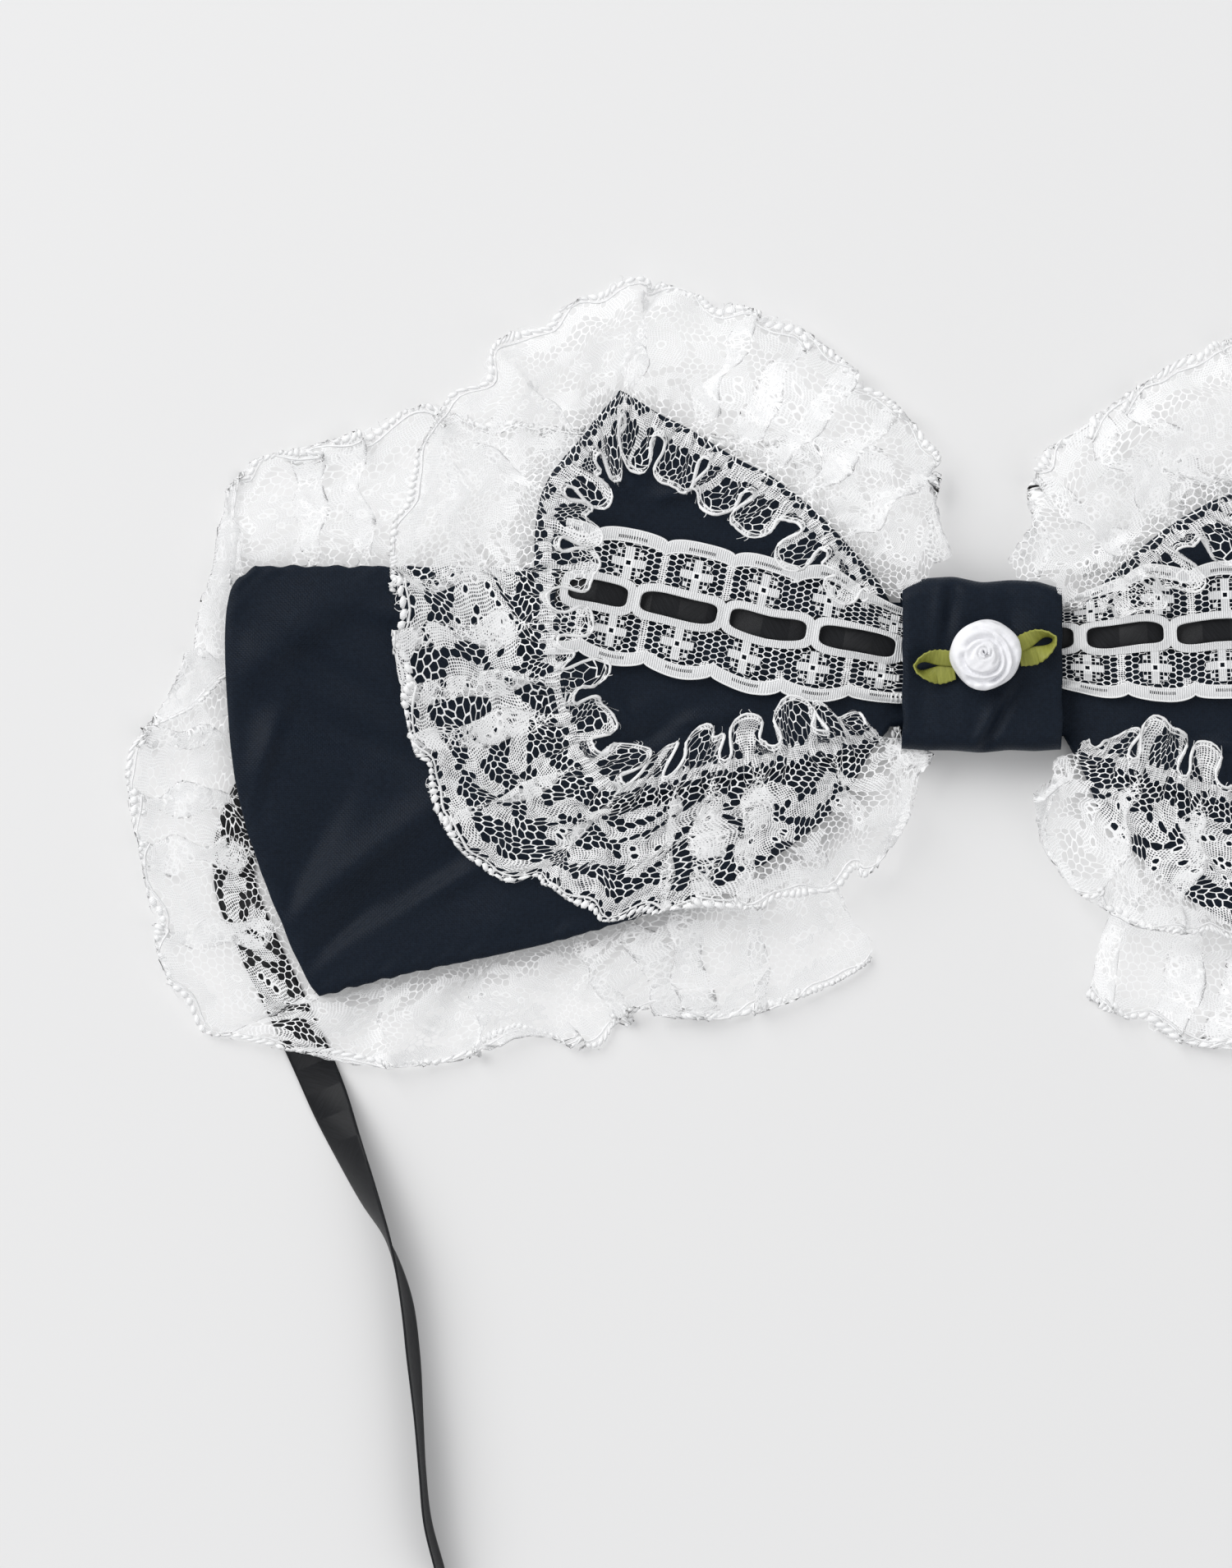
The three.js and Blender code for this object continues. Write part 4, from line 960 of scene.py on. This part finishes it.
def ladder_lace(finishes, ribbon):
    end = KNOT_WIDTH / 2 + LADDER_REACH
    spans = slot_spans()
    marks, lines = flower_chart()
    marks = np.pad(marks, 1, constant_values=" ")

    def keep(x, across):
        in_slot = np.zeros_like(x, bool)
        for start, stop in spans:
            in_slot |= (x > start - 1.2) & (x < stop + 1.2) & (np.abs(across) < SLOT_HEIGHT / 2 + 1.2)
        along, upward = ladder_flower(x, across)
        in_flower = marks[np.searchsorted(lines, -upward), np.searchsorted(lines, along)] != " "
        inside = (np.abs(x) < end) & (np.abs(across) < ladder_border(x) - BORDER_WIDTH + 0.4)
        return inside & ~in_slot & ~in_flower

    parts = [net(((-end, end), (-LADDER_WIDTH / 2, LADDER_WIDTH / 2)), (2.1, 1.3), keep, ladder_opening, 60)]
    middles = np.arange(-math.floor(end / FLOWER_PITCH), math.ceil(end / FLOWER_PITCH)) + 0.5
    for towards, shift in ((1, 0), (-1, -1.2)):
        places = middles * FLOWER_PITCH + LADDER_SHIFT + shift
        places = places[np.abs(places) < end - 4]
        parts.append(flower_squares(np.stack([places, np.full(len(places), towards * FLOWER_MIDDLE)], axis=1)))
    for start, stop in spans:
        parts.append(slot_rim(start, stop))
    x = np.arange(-end, end, 0.225)
    for towards in (-1, 1):
        rows = np.linspace(-BORDER_WIDTH, 0, 5)
        shape = np.array([0, 0.22, 0.25, 0.3, 0.1])
        border = np.stack(np.broadcast_arrays(x[:, None], towards * (ladder_border(x)[:, None] + rows), shape), axis=2)
        column, row = (grid.ravel() for grid in np.meshgrid(np.arange(len(x) - 1), np.arange(4), indexing="ij"))
        crest = np.abs((x[column] - LADDER_SHIFT) / FLOWER_PITCH % 1 - 0.5) < 0.2
        slit = (row == 1) & crest & (column % 2 == 0)
        parts.append((border.reshape(-1, 3), [(grid_faces(len(x), len(rows))[~slit][:, ::towards], RIB)]))
        line = np.stack([x, towards * ladder_border(x)], axis=1)
        parts.append(cord(line, 0.5, 0.5, sides=5))
        parts.append(cord(line - (0, towards * BORDER_WIDTH), 0.35, 0.4, sides=4))
    flat, groups = joined(parts)
    piece = mesh_piece("ladder_lace", ladder_surface(flat), groups, finishes, "white_lace", ["ladder_lace"], flat[:, :2])


def insertion_ribbon(finish):
    end = KNOT_WIDTH / 2 + LADDER_REACH - GAP
    x = np.linspace(-end, end, 260)
    across = np.linspace(-0.5, 0.5, 13) * INSERTION_WIDTH
    x_grid, across_grid = np.meshgrid(x, across, indexing="ij")
    slot_wave = np.cos(2 * math.pi * (x_grid - LADDER_SHIFT - LADDER_PITCH / 2) / LADDER_PITCH)
    arch = 0.45 * (1 - (2 * across_grid / INSERTION_WIDTH) ** 2) * slot_wave
    low = INSERTION_LOW - LADDER_LOW
    flat = np.stack([x_grid, across_grid, low + arch], axis=2)
    middle = ladder_surface(flat.reshape(-1, 3)).reshape(flat.shape)
    points, groups = closed_wall(*skins(middle, 0.4))
    threads = np.tile(flat[..., :2].reshape(-1, 2), (2, 1))
    return mesh_piece("insertion_ribbon", points, groups, [finish], "black_satin", ["insertion_ribbon"], threads)


# Rose and leaves

def rose_crease(x, y):
    """Depth of the creases between the rose's petals, steep on their inner side."""
    depth = np.zeros_like(x)
    for middle_x, middle_y, radius, start, stop, deep in ROSE_CREASES:
        far = np.hypot(x - middle_x, y - middle_y) - radius
        angle = np.degrees(np.arctan2(y - middle_y, x - middle_x))
        turned = (angle - start) % 360
        shown = smoothstep(turned, 0, 25) * (1 - smoothstep(turned, stop - start - 25, stop - start))
        depth += deep * shown * np.where(far < 0, np.exp(-((far / 0.22) ** 2)), np.exp(-((far / 0.85) ** 2)))
    angle = np.arctan2(y - 0.7, x + 0.6)
    far = np.hypot(x + 0.6, y - 0.7)
    turns = far / 0.85 - angle / (2 * math.pi)
    inner = 1 - smoothstep(far, 1.6, 2.6)
    depth += 0.4 * inner * (0.5 + 0.5 * np.cos(2 * math.pi * turns)) ** 3
    slit = ((x + 0.6 + 0.45 * (y - 0.75)) / 0.2) ** 2 + ((y - 0.75 - 0.5 * (x + 0.6)) / 0.45) ** 2
    return depth + 1.6 * np.exp(-slit)


def ribbon_rose(finish):
    """A satin ribbon wound into a rose, its petals laid round a small bud."""
    angle = np.linspace(0, 2 * math.pi, 181)[:-1]
    turn = np.linspace(0.012, math.pi - 0.02, 110)
    outline = np.interp(np.degrees(angle), np.arange(0, 361, 30), ROSE_OUTLINE + ROSE_OUTLINE[:1])
    outline = np.convolve(np.pad(outline, 8, mode="wrap"), np.hanning(19)[1:-1] / np.hanning(19).sum(), "valid")
    sine, cosine = np.sin(turn), np.cos(turn)
    radius = outline[:, None] * sine ** 0.8
    base = KNOT_DEPTH + GAP
    height = base + ROSE_HEIGHT * (0.5 + 0.5 * np.sign(cosine) * np.abs(cosine) ** 0.8)
    x, y = radius * np.cos(angle)[:, None], radius * np.sin(angle)[:, None]
    upper = smoothstep(cosine, -0.1, 0.25)
    ruck, sway = waves(71, 4, 4.5, 1.8), waves(72, 4, 5, 2)
    height = height - upper * (rose_crease(x, y) + 0.12 * ruck(x) * sway(y))
    rim = 0.18 * np.sin(3 * angle + 0.6)[:, None] * np.sin(height * 2.1)
    x, y = x + rim * np.cos(angle)[:, None], y + rim * np.sin(angle)[:, None]
    points = np.stack([ROSE_X + x, ROSE_Y + y, height], axis=2)
    rows = len(turn)
    caps = [np.arange(len(angle))[::-1] * rows, np.arange(len(angle)) * rows + rows - 1]
    groups = [(grid_faces(len(angle), rows, ring_columns=True)[:, ::-1], 0)]
    groups += [(cap[None], 0) for cap in caps]
    threads = np.stack([outline[:, None] * angle[:, None] + 0 * x, 3 * turn + 0 * x], axis=2).reshape(-1, 2)
    piece = mesh_piece("ribbon_rose", points.reshape(-1, 3), groups, [finish], "white_satin", ["ribbon_rose"], threads)


def leaf(name, side, finish):
    """A ribbon looped out from under the rose and back, standing on its edge at the tip."""
    loop = spline(LEAF_LOOP, 14)
    inner, outer, lift = loop[:, 0:2], loop[:, 2:4], loop[:, 4]
    lengths = lengths_along((inner + outer) / 2)
    seen = np.linalg.norm(outer - inner, axis=1)
    rise = np.sqrt(np.maximum(LEAF_RIBBON**2 - seen**2, 0.05)) * 0.85
    outward = (outer - inner) / seen[:, None]
    picot = np.maximum(np.sin(2 * math.pi * lengths / PICOT_PITCH), 0) * 0.16
    shares = np.linspace(0, 1, 11)
    place = inner[:, None] + (seen + picot)[:, None, None] * shares[None, :, None] * outward[:, None]
    bow = 0.22 * np.sin(math.pi * shares)
    height = KNOT_DEPTH + GAP + 0.25 + lift[:, None] + rise[:, None] * shares + bow
    angle = math.radians(LEAF_TURN)
    x, y = side * place[..., 0], place[..., 1]
    middle = np.stack([
        ROSE_X + x * math.cos(angle) - y * math.sin(angle),
        ROSE_Y + x * math.sin(angle) + y * math.cos(angle), height,
    ], axis=2)
    points, groups = closed_wall(*skins(middle, 0.35))
    threads = np.stack(np.broadcast_arrays(lengths[:, None], shares * LEAF_RIBBON), axis=2).reshape(-1, 2)
    mesh_piece(name, points, groups, [finish], "green_satin", [name], np.tile(threads, (2, 1)))


# Finishes

def tree_of(material):
    material.use_nodes = True
    tree = material.node_tree
    return tree, tree.nodes["Principled BSDF"]


def put(tree, kind, **values):
    """A node with some of its settings and unlinked inputs."""
    node = tree.nodes.new(kind)
    for key, value in values.items():
        if hasattr(node, key):
            setattr(node, key, value)
        else:
            node.inputs[key.replace("_", " ")].default_value = value
    return node


def math_node(tree, operation, first, second=None):
    node = tree.nodes.new("ShaderNodeMath")
    node.operation = operation
    for socket, value in zip(node.inputs, (first, second)):
        if isinstance(value, bpy.types.NodeSocket):
            tree.links.new(value, socket)
        elif value is not None:
            socket.default_value = value
    return node.outputs[0]


def effect(name, inputs, outputs):
    """An empty shader group with named sockets."""
    tree = bpy.data.node_groups.new(name, "ShaderNodeTree")
    for socket, kind, value in inputs:
        made = tree.interface.new_socket(name=socket, in_out="INPUT", socket_type=kind)
        if value is not None:
            made.default_value = value
    for socket, kind in outputs:
        tree.interface.new_socket(name=socket, in_out="OUTPUT", socket_type=kind)
    return tree, tree.nodes.new("NodeGroupInput").outputs, tree.nodes.new("NodeGroupOutput").inputs


VECTOR, NUMBER = "NodeSocketVector", "NodeSocketFloat"


def thread_line(tree, coordinate, pitch):
    """How near a coordinate is to the middle of the nearest thread: 1 on it, 0 halfway between."""
    turns = math_node(tree, "DIVIDE", coordinate, pitch)
    part = math_node(tree, "FRACT", turns)
    return math_node(tree, "ABSOLUTE", math_node(tree, "MULTIPLY", math_node(tree, "SUBTRACT", part, 0.5), 2))


def weave_effect():
    """Threads along and across a cloth, crossing over and under: their height and their shade."""
    tree, given, result = effect("weave", [
        ("Vector", VECTOR, None), ("Along", NUMBER, 0.4), ("Across", NUMBER, 0.4), ("Unevenness", NUMBER, 0.3),
    ], [("Height", NUMBER), ("Shade", NUMBER)])
    noise = put(tree, "ShaderNodeTexNoise", Scale=0.35, Detail=2.0)
    tree.links.new(given["Vector"], noise.inputs["Vector"])
    shift = put(tree, "ShaderNodeVectorMath", operation="SCALE")
    tree.links.new(noise.outputs["Color"], shift.inputs[0])
    tree.links.new(given["Unevenness"], shift.inputs["Scale"])
    moved = put(tree, "ShaderNodeVectorMath", operation="ADD")
    tree.links.new(given["Vector"], moved.inputs[0])
    tree.links.new(shift.outputs[0], moved.inputs[1])
    split = put(tree, "ShaderNodeSeparateXYZ")
    tree.links.new(moved.outputs[0], split.inputs[0])
    u, v = split.outputs["X"], split.outputs["Y"]
    line_u, line_v = thread_line(tree, u, given["Across"]), thread_line(tree, v, given["Along"])
    flips = []
    for coordinate, pitch in ((u, given["Across"]), (v, given["Along"])):
        flips.append(math_node(tree, "FLOOR", math_node(tree, "DIVIDE", coordinate, pitch)))
    parity = math_node(tree, "PINGPONG", math_node(tree, "ADD", *flips), 1)
    over = math_node(tree, "MULTIPLY", line_u, parity)
    under = math_node(tree, "MULTIPLY", line_v, math_node(tree, "SUBTRACT", 1, parity))
    height = math_node(tree, "ADD", over, under)
    tree.links.new(height, result["Height"])
    fine = put(tree, "ShaderNodeTexNoise", Scale=1.4, Detail=4.0)
    tree.links.new(given["Vector"], fine.inputs["Vector"])
    shade = math_node(tree, "ADD", math_node(tree, "MULTIPLY", height, 0.4), fine.outputs["Fac"])
    tree.links.new(math_node(tree, "MULTIPLY", shade, 0.8), result["Shade"])
    return tree


def mesh_threads_effect():
    """Loose cloth work of lace: a grid of threads with small holes, as a mask and a height."""
    tree, given, result = effect("cloth_work", [
        ("Vector", VECTOR, None), ("Along", NUMBER, 0.6), ("Across", NUMBER, 0.8), ("Gap", NUMBER, 0.35),
    ], [("Mask", NUMBER), ("Height", NUMBER)])
    noise = put(tree, "ShaderNodeTexNoise", Scale=0.5, Detail=2.0)
    tree.links.new(given["Vector"], noise.inputs["Vector"])
    shift = put(tree, "ShaderNodeVectorMath", operation="SCALE", Scale=0.7)
    tree.links.new(noise.outputs["Color"], shift.inputs[0])
    moved = put(tree, "ShaderNodeVectorMath", operation="ADD")
    tree.links.new(given["Vector"], moved.inputs[0])
    tree.links.new(shift.outputs[0], moved.inputs[1])
    split = put(tree, "ShaderNodeSeparateXYZ")
    tree.links.new(moved.outputs[0], split.inputs[0])
    line_u = thread_line(tree, split.outputs["X"], given["Across"])
    line_v = thread_line(tree, split.outputs["Y"], given["Along"])
    height = math_node(tree, "MAXIMUM", line_u, line_v)
    looser = math_node(tree, "MULTIPLY", math_node(tree, "SUBTRACT", noise.outputs["Fac"], 0.5), 1.1)
    gap = math_node(tree, "ADD", given["Gap"], looser)
    mask = put(tree, "ShaderNodeMapRange", interpolation_type="SMOOTHSTEP")
    tree.links.new(height, mask.inputs["Value"])
    tree.links.new(gap, mask.inputs["From Min"])
    tree.links.new(math_node(tree, "ADD", gap, 0.12), mask.inputs["From Max"])
    tree.links.new(mask.outputs["Result"], result["Mask"])
    tree.links.new(height, result["Height"])
    return tree


def sheen_effect():
    """Satin's fine floats along a ribbon as a height, and slanted streaks where the threads catch the light, which the
    satin finish paints into its colour as painted sheen.
    """
    tree, given, result = effect("satin_floats_and_sheen", [
        ("Vector", VECTOR, None), ("Pitch", NUMBER, 0.22), ("Slant", NUMBER, 0.6),
        ("Herringbone", NUMBER, 6),
    ], [("Height", NUMBER), ("Sheen_streak", NUMBER)])
    split = put(tree, "ShaderNodeSeparateXYZ")
    tree.links.new(given["Vector"], split.inputs[0])
    folded = math_node(tree, "PINGPONG", split.outputs["X"], given["Herringbone"])
    slanted = math_node(tree, "ADD", folded, math_node(tree, "MULTIPLY", split.outputs["Y"], given["Slant"]))
    tree.links.new(thread_line(tree, slanted, given["Pitch"]), result["Height"])
    grid = put(tree, "ShaderNodeCombineXYZ")
    tree.links.new(math_node(tree, "MULTIPLY", slanted, 2.2), grid.inputs["X"])
    tree.links.new(math_node(tree, "MULTIPLY", split.outputs["Y"], 0.25), grid.inputs["Y"])
    noise = put(tree, "ShaderNodeTexNoise", Scale=1.0, Detail=3.0)
    tree.links.new(grid.outputs[0], noise.inputs["Vector"])
    # The streaks stand for sheen; the satin finish paints them into its base colour.
    tree.links.new(noise.outputs["Fac"], result["Sheen_streak"])
    return tree


def let_light_through(tree, shader, share):
    """Lets a share of the light through thin white thread, so that it reaches what lies behind."""
    clear = tree.nodes.new("ShaderNodeBsdfTransparent")
    film = tree.nodes.new("ShaderNodeMixShader")
    film.inputs["Fac"].default_value = share
    tree.links.new(shader.outputs[0], film.inputs[1])
    tree.links.new(clear.outputs[0], film.inputs[2])
    path = tree.nodes.new("ShaderNodeLightPath")
    mix = tree.nodes.new("ShaderNodeMixShader")
    tree.links.new(path.outputs["Is Shadow Ray"], mix.inputs["Fac"])
    tree.links.new(shader.outputs[0], mix.inputs[1])
    tree.links.new(film.outputs[0], mix.inputs[2])
    tree.links.new(mix.outputs[0], tree.nodes["Material Output"].inputs["Surface"])


def use_effect(tree, group, **values):
    node = tree.nodes.new("ShaderNodeGroup")
    node.node_tree = group
    for key, value in values.items():
        node.inputs[key].default_value = value
    return node


def ramp_colour(tree, factor, colours):
    ramp = tree.nodes.new("ShaderNodeValToRGB")
    ramp.color_ramp.elements[0].position, ramp.color_ramp.elements[1].position = 0.25, 0.8
    for element, colour in zip(ramp.color_ramp.elements, colours):
        element.color = (*colour, 1)
    tree.links.new(factor, ramp.inputs["Fac"])
    return ramp.outputs["Color"]


def add_bump(tree, shader, height, strength, distance):
    bump = put(tree, "ShaderNodeBump", Strength=strength, Distance=distance)
    tree.links.new(height, bump.inputs["Height"])
    tree.links.new(bump.outputs["Normal"], shader.inputs["Normal"])


def black_cotton(effects):
    material = bpy.data.materials.new("black_cotton")
    tree, shader = tree_of(material)
    shader.inputs["Roughness"].default_value = 0.52
    shader.inputs["Specular IOR Level"].default_value = 0.14
    shader.inputs["Sheen Weight"].default_value = 0.1
    shader.inputs["Sheen Roughness"].default_value = 0.45
    shader.inputs["Sheen Tint"].default_value = (0.55, 0.66, 0.8, 1)
    place = put(tree, "ShaderNodeTexCoord").outputs["Object"]
    in_mm = put(tree, "ShaderNodeVectorMath", operation="SCALE", Scale=1 / MM)
    tree.links.new(place, in_mm.inputs[0])
    weave = use_effect(tree, effects["weave"], Along=0.42, Across=0.42, Unevenness=0.8)
    tree.links.new(in_mm.outputs[0], weave.inputs["Vector"])
    colour = ramp_colour(tree, weave.outputs["Shade"], [(0.0018, 0.0044, 0.0098), (0.0068, 0.013, 0.0245)])
    tree.links.new(colour, shader.inputs["Base Color"])
    add_bump(tree, shader, weave.outputs["Height"], 0.35, 0.00012)
    return material


def lace_thread():
    material = bpy.data.materials.new("lace_thread")
    tree, shader = tree_of(material)
    shader.inputs["Roughness"].default_value = 0.8
    shader.inputs["Specular IOR Level"].default_value = 0.3
    noise = put(tree, "ShaderNodeTexNoise", Scale=1.5, Detail=2.0)
    threads = put(tree, "ShaderNodeUVMap", uv_map="threads")
    tree.links.new(threads.outputs["UV"], noise.inputs["Vector"])
    tree.links.new(ramp_colour(tree, noise.outputs["Fac"], [(0.9, 0.905, 0.91), (0.96, 0.962, 0.965)]),
                   shader.inputs["Base Color"])
    add_bump(tree, shader, noise.outputs["Fac"], 0.3, 0.0002)
    let_light_through(tree, shader, THREAD_CLEAR)
    return material


def lace_cloth(effects):
    material = bpy.data.materials.new("lace_cloth")
    tree, shader = tree_of(material)
    shader.inputs["Roughness"].default_value = 0.85
    shader.inputs["Specular IOR Level"].default_value = 0.3
    threads = put(tree, "ShaderNodeUVMap", uv_map="threads")
    cloth = use_effect(tree, effects["cloth"], Along=0.46, Across=0.58, Gap=0.47)
    tree.links.new(threads.outputs["UV"], cloth.inputs["Vector"])
    tree.links.new(ramp_colour(tree, cloth.outputs["Height"], [(0.78, 0.785, 0.79), (0.91, 0.913, 0.918)]),
                   shader.inputs["Base Color"])
    tree.links.new(cloth.outputs["Mask"], shader.inputs["Alpha"])
    add_bump(tree, shader, cloth.outputs["Height"], 0.5, 0.00015)
    let_light_through(tree, shader, THREAD_CLEAR)
    return material


def lace_cord():
    material = bpy.data.materials.new("lace_cord")
    tree, shader = tree_of(material)
    shader.inputs["Roughness"].default_value = 0.7
    shader.inputs["Specular IOR Level"].default_value = 0.35
    threads = put(tree, "ShaderNodeUVMap", uv_map="threads")
    wave = put(tree, "ShaderNodeTexWave", Scale=1.1, Distortion=1.5)
    tree.links.new(threads.outputs["UV"], wave.inputs["Vector"])
    tree.links.new(ramp_colour(tree, wave.outputs["Fac"], [(0.9, 0.905, 0.91), (0.97, 0.972, 0.975)]),
                   shader.inputs["Base Color"])
    add_bump(tree, shader, wave.outputs["Fac"], 0.4, 0.00015)
    let_light_through(tree, shader, THREAD_CLEAR)
    return material


def lace_rib():
    """Close ribbed cloth along the ladder's borders and slots, its ribs across the lace."""
    material = bpy.data.materials.new("lace_rib")
    tree, shader = tree_of(material)
    shader.inputs["Roughness"].default_value = 0.85
    shader.inputs["Specular IOR Level"].default_value = 0.3
    threads = put(tree, "ShaderNodeUVMap", uv_map="threads")
    ribs = put(tree, "ShaderNodeTexWave", Scale=0.65, Distortion=0.8, Detail=1.0)
    ribs.inputs["Detail Scale"].default_value = 2
    tree.links.new(threads.outputs["UV"], ribs.inputs["Vector"])
    tree.links.new(ramp_colour(tree, ribs.outputs["Fac"], [(0.72, 0.73, 0.74), (0.93, 0.933, 0.938)]),
                   shader.inputs["Base Color"])
    add_bump(tree, shader, ribs.outputs["Fac"], 0.8, 0.0002)
    return material


def satin(name, effects, colours, roughness, shine, slant, strength):
    """A satin ribbon's finish: its colour runs from its dark tone to a painted sheen along the streaks, and the same
    streaks vary its roughness.
    """
    material = bpy.data.materials.new(name)
    tree, shader = tree_of(material)
    shader.inputs["Specular IOR Level"].default_value = shine
    threads = put(tree, "ShaderNodeUVMap", uv_map="threads")
    floats = use_effect(tree, effects["satin"], Slant=slant)
    tree.links.new(threads.outputs["UV"], floats.inputs["Vector"])
    # Painted sheen: the streaks lighten the base colour where the satin would catch the light.
    tree.links.new(ramp_colour(tree, floats.outputs["Sheen_streak"], colours), shader.inputs["Base Color"])
    gloss = put(tree, "ShaderNodeMapRange")
    tree.links.new(floats.outputs["Sheen_streak"], gloss.inputs["Value"])
    gloss.inputs["To Min"].default_value, gloss.inputs["To Max"].default_value = roughness
    tree.links.new(gloss.outputs["Result"], shader.inputs["Roughness"])
    add_bump(tree, shader, floats.outputs["Height"], strength, 0.0001)
    return material


# Table and light

def table_top():
    mesh = bpy.data.meshes.new("table_top")
    half = 2.5
    mesh.from_pydata([(-half, -half, 0), (half, -half, 0), (half, half, 0), (-half, half, 0)], [], [(0, 1, 2, 3)])
    table = bpy.data.objects.new("table_top", mesh)
    bpy.context.scene.collection.objects.link(table)
    material = bpy.data.materials.new("pale_table")
    tree, shader = tree_of(material)
    shader.inputs["Base Color"].default_value = (0.83, 0.83, 0.83, 1)
    shader.inputs["Roughness"].default_value = 0.9
    mesh.materials.append(material)


def soft_lamp(name, place, size, power, colour):
    lamp = bpy.data.lights.new(name, "AREA")
    lamp.energy, lamp.size, lamp.color = power, size, colour
    mount = bpy.data.objects.new(name, lamp)
    mount.location = place
    aim = -np.array(place) / np.linalg.norm(place)
    mount.rotation_euler = (math.acos(-aim[2]), 0, math.atan2(-aim[0], aim[1]))
    bpy.context.scene.collection.objects.link(mount)


def studio_light():
    soft_lamp("window_light", (-2.7, 2.2, 2.5), 3.0, 150, (1, 0.995, 0.99))
    soft_lamp("fill_light", (2.8, -2.0, 3.6), 4.0, 62, (1, 0.99, 0.98))
    world = bpy.data.worlds.new("pale_room")
    world.use_nodes = True
    background = world.node_tree.nodes["Background"]
    background.inputs["Color"].default_value = (0.97, 0.98, 1, 1)
    background.inputs["Strength"].default_value = 0.43
    bpy.context.scene.world = world
    bpy.context.scene.view_settings.view_transform = "Standard"


# The headdress

photo_camera()
effects = {"weave": weave_effect(), "cloth": mesh_threads_effect(), "satin": sheen_effect()}
cotton = black_cotton(effects)
lace = [lace_thread(), lace_cloth(effects), lace_cord(), lace_rib()]
# Each satin gets its own dark tone and a lighter painted sheen, which is shown along its streaks.
black_satin = satin("black_satin", effects, [(0.005, 0.0055, 0.0065), (0.015, 0.016, 0.019)], (0.32, 0.5), 0.22, 0.8, 0.3)
white_satin = satin("white_satin", effects, [(0.86, 0.865, 0.9), (0.93, 0.93, 0.95)], (0.4, 0.55), 0.4, 0, 0.25)
green_satin = satin("green_satin", effects, [(0.25, 0.265, 0.045), (0.4, 0.41, 0.085)], (0.4, 0.6), 0.4, 0, 0.6)
for name, side in SIDES.items():
    tie_ribbon(f"tie_ribbon_{name}", side, black_satin)
panel("base_panel", BASE_OUTLINE, BASE_LOW, BASE_FOLDS, cotton, 11)
panel("bow_panel", BOW_OUTLINE, BOW_LOW, BOW_FOLDS, cotton, 21)
knot_band(cotton)
ladder_lace(lace, insertion_ribbon(black_satin))
for name, side in SIDES.items():
    ruffle(f"base_ruffle_{name}", side, BASE_OUTLINE, BASE_FRILL, BASE_FRILL_WIDTH, False, 2.0, 21, 300 + side, lace[:3])
    ruffle(f"bow_ruffle_{name}", side, BOW_OUTLINE, BOW_FRILL, BOW_FRILL_WIDTH, True, 2.4, 19, 400 + side, lace[:3])
    leaf(f"leaf_{name}", side, green_satin)
ribbon_rose(white_satin)
table_top()
studio_light()
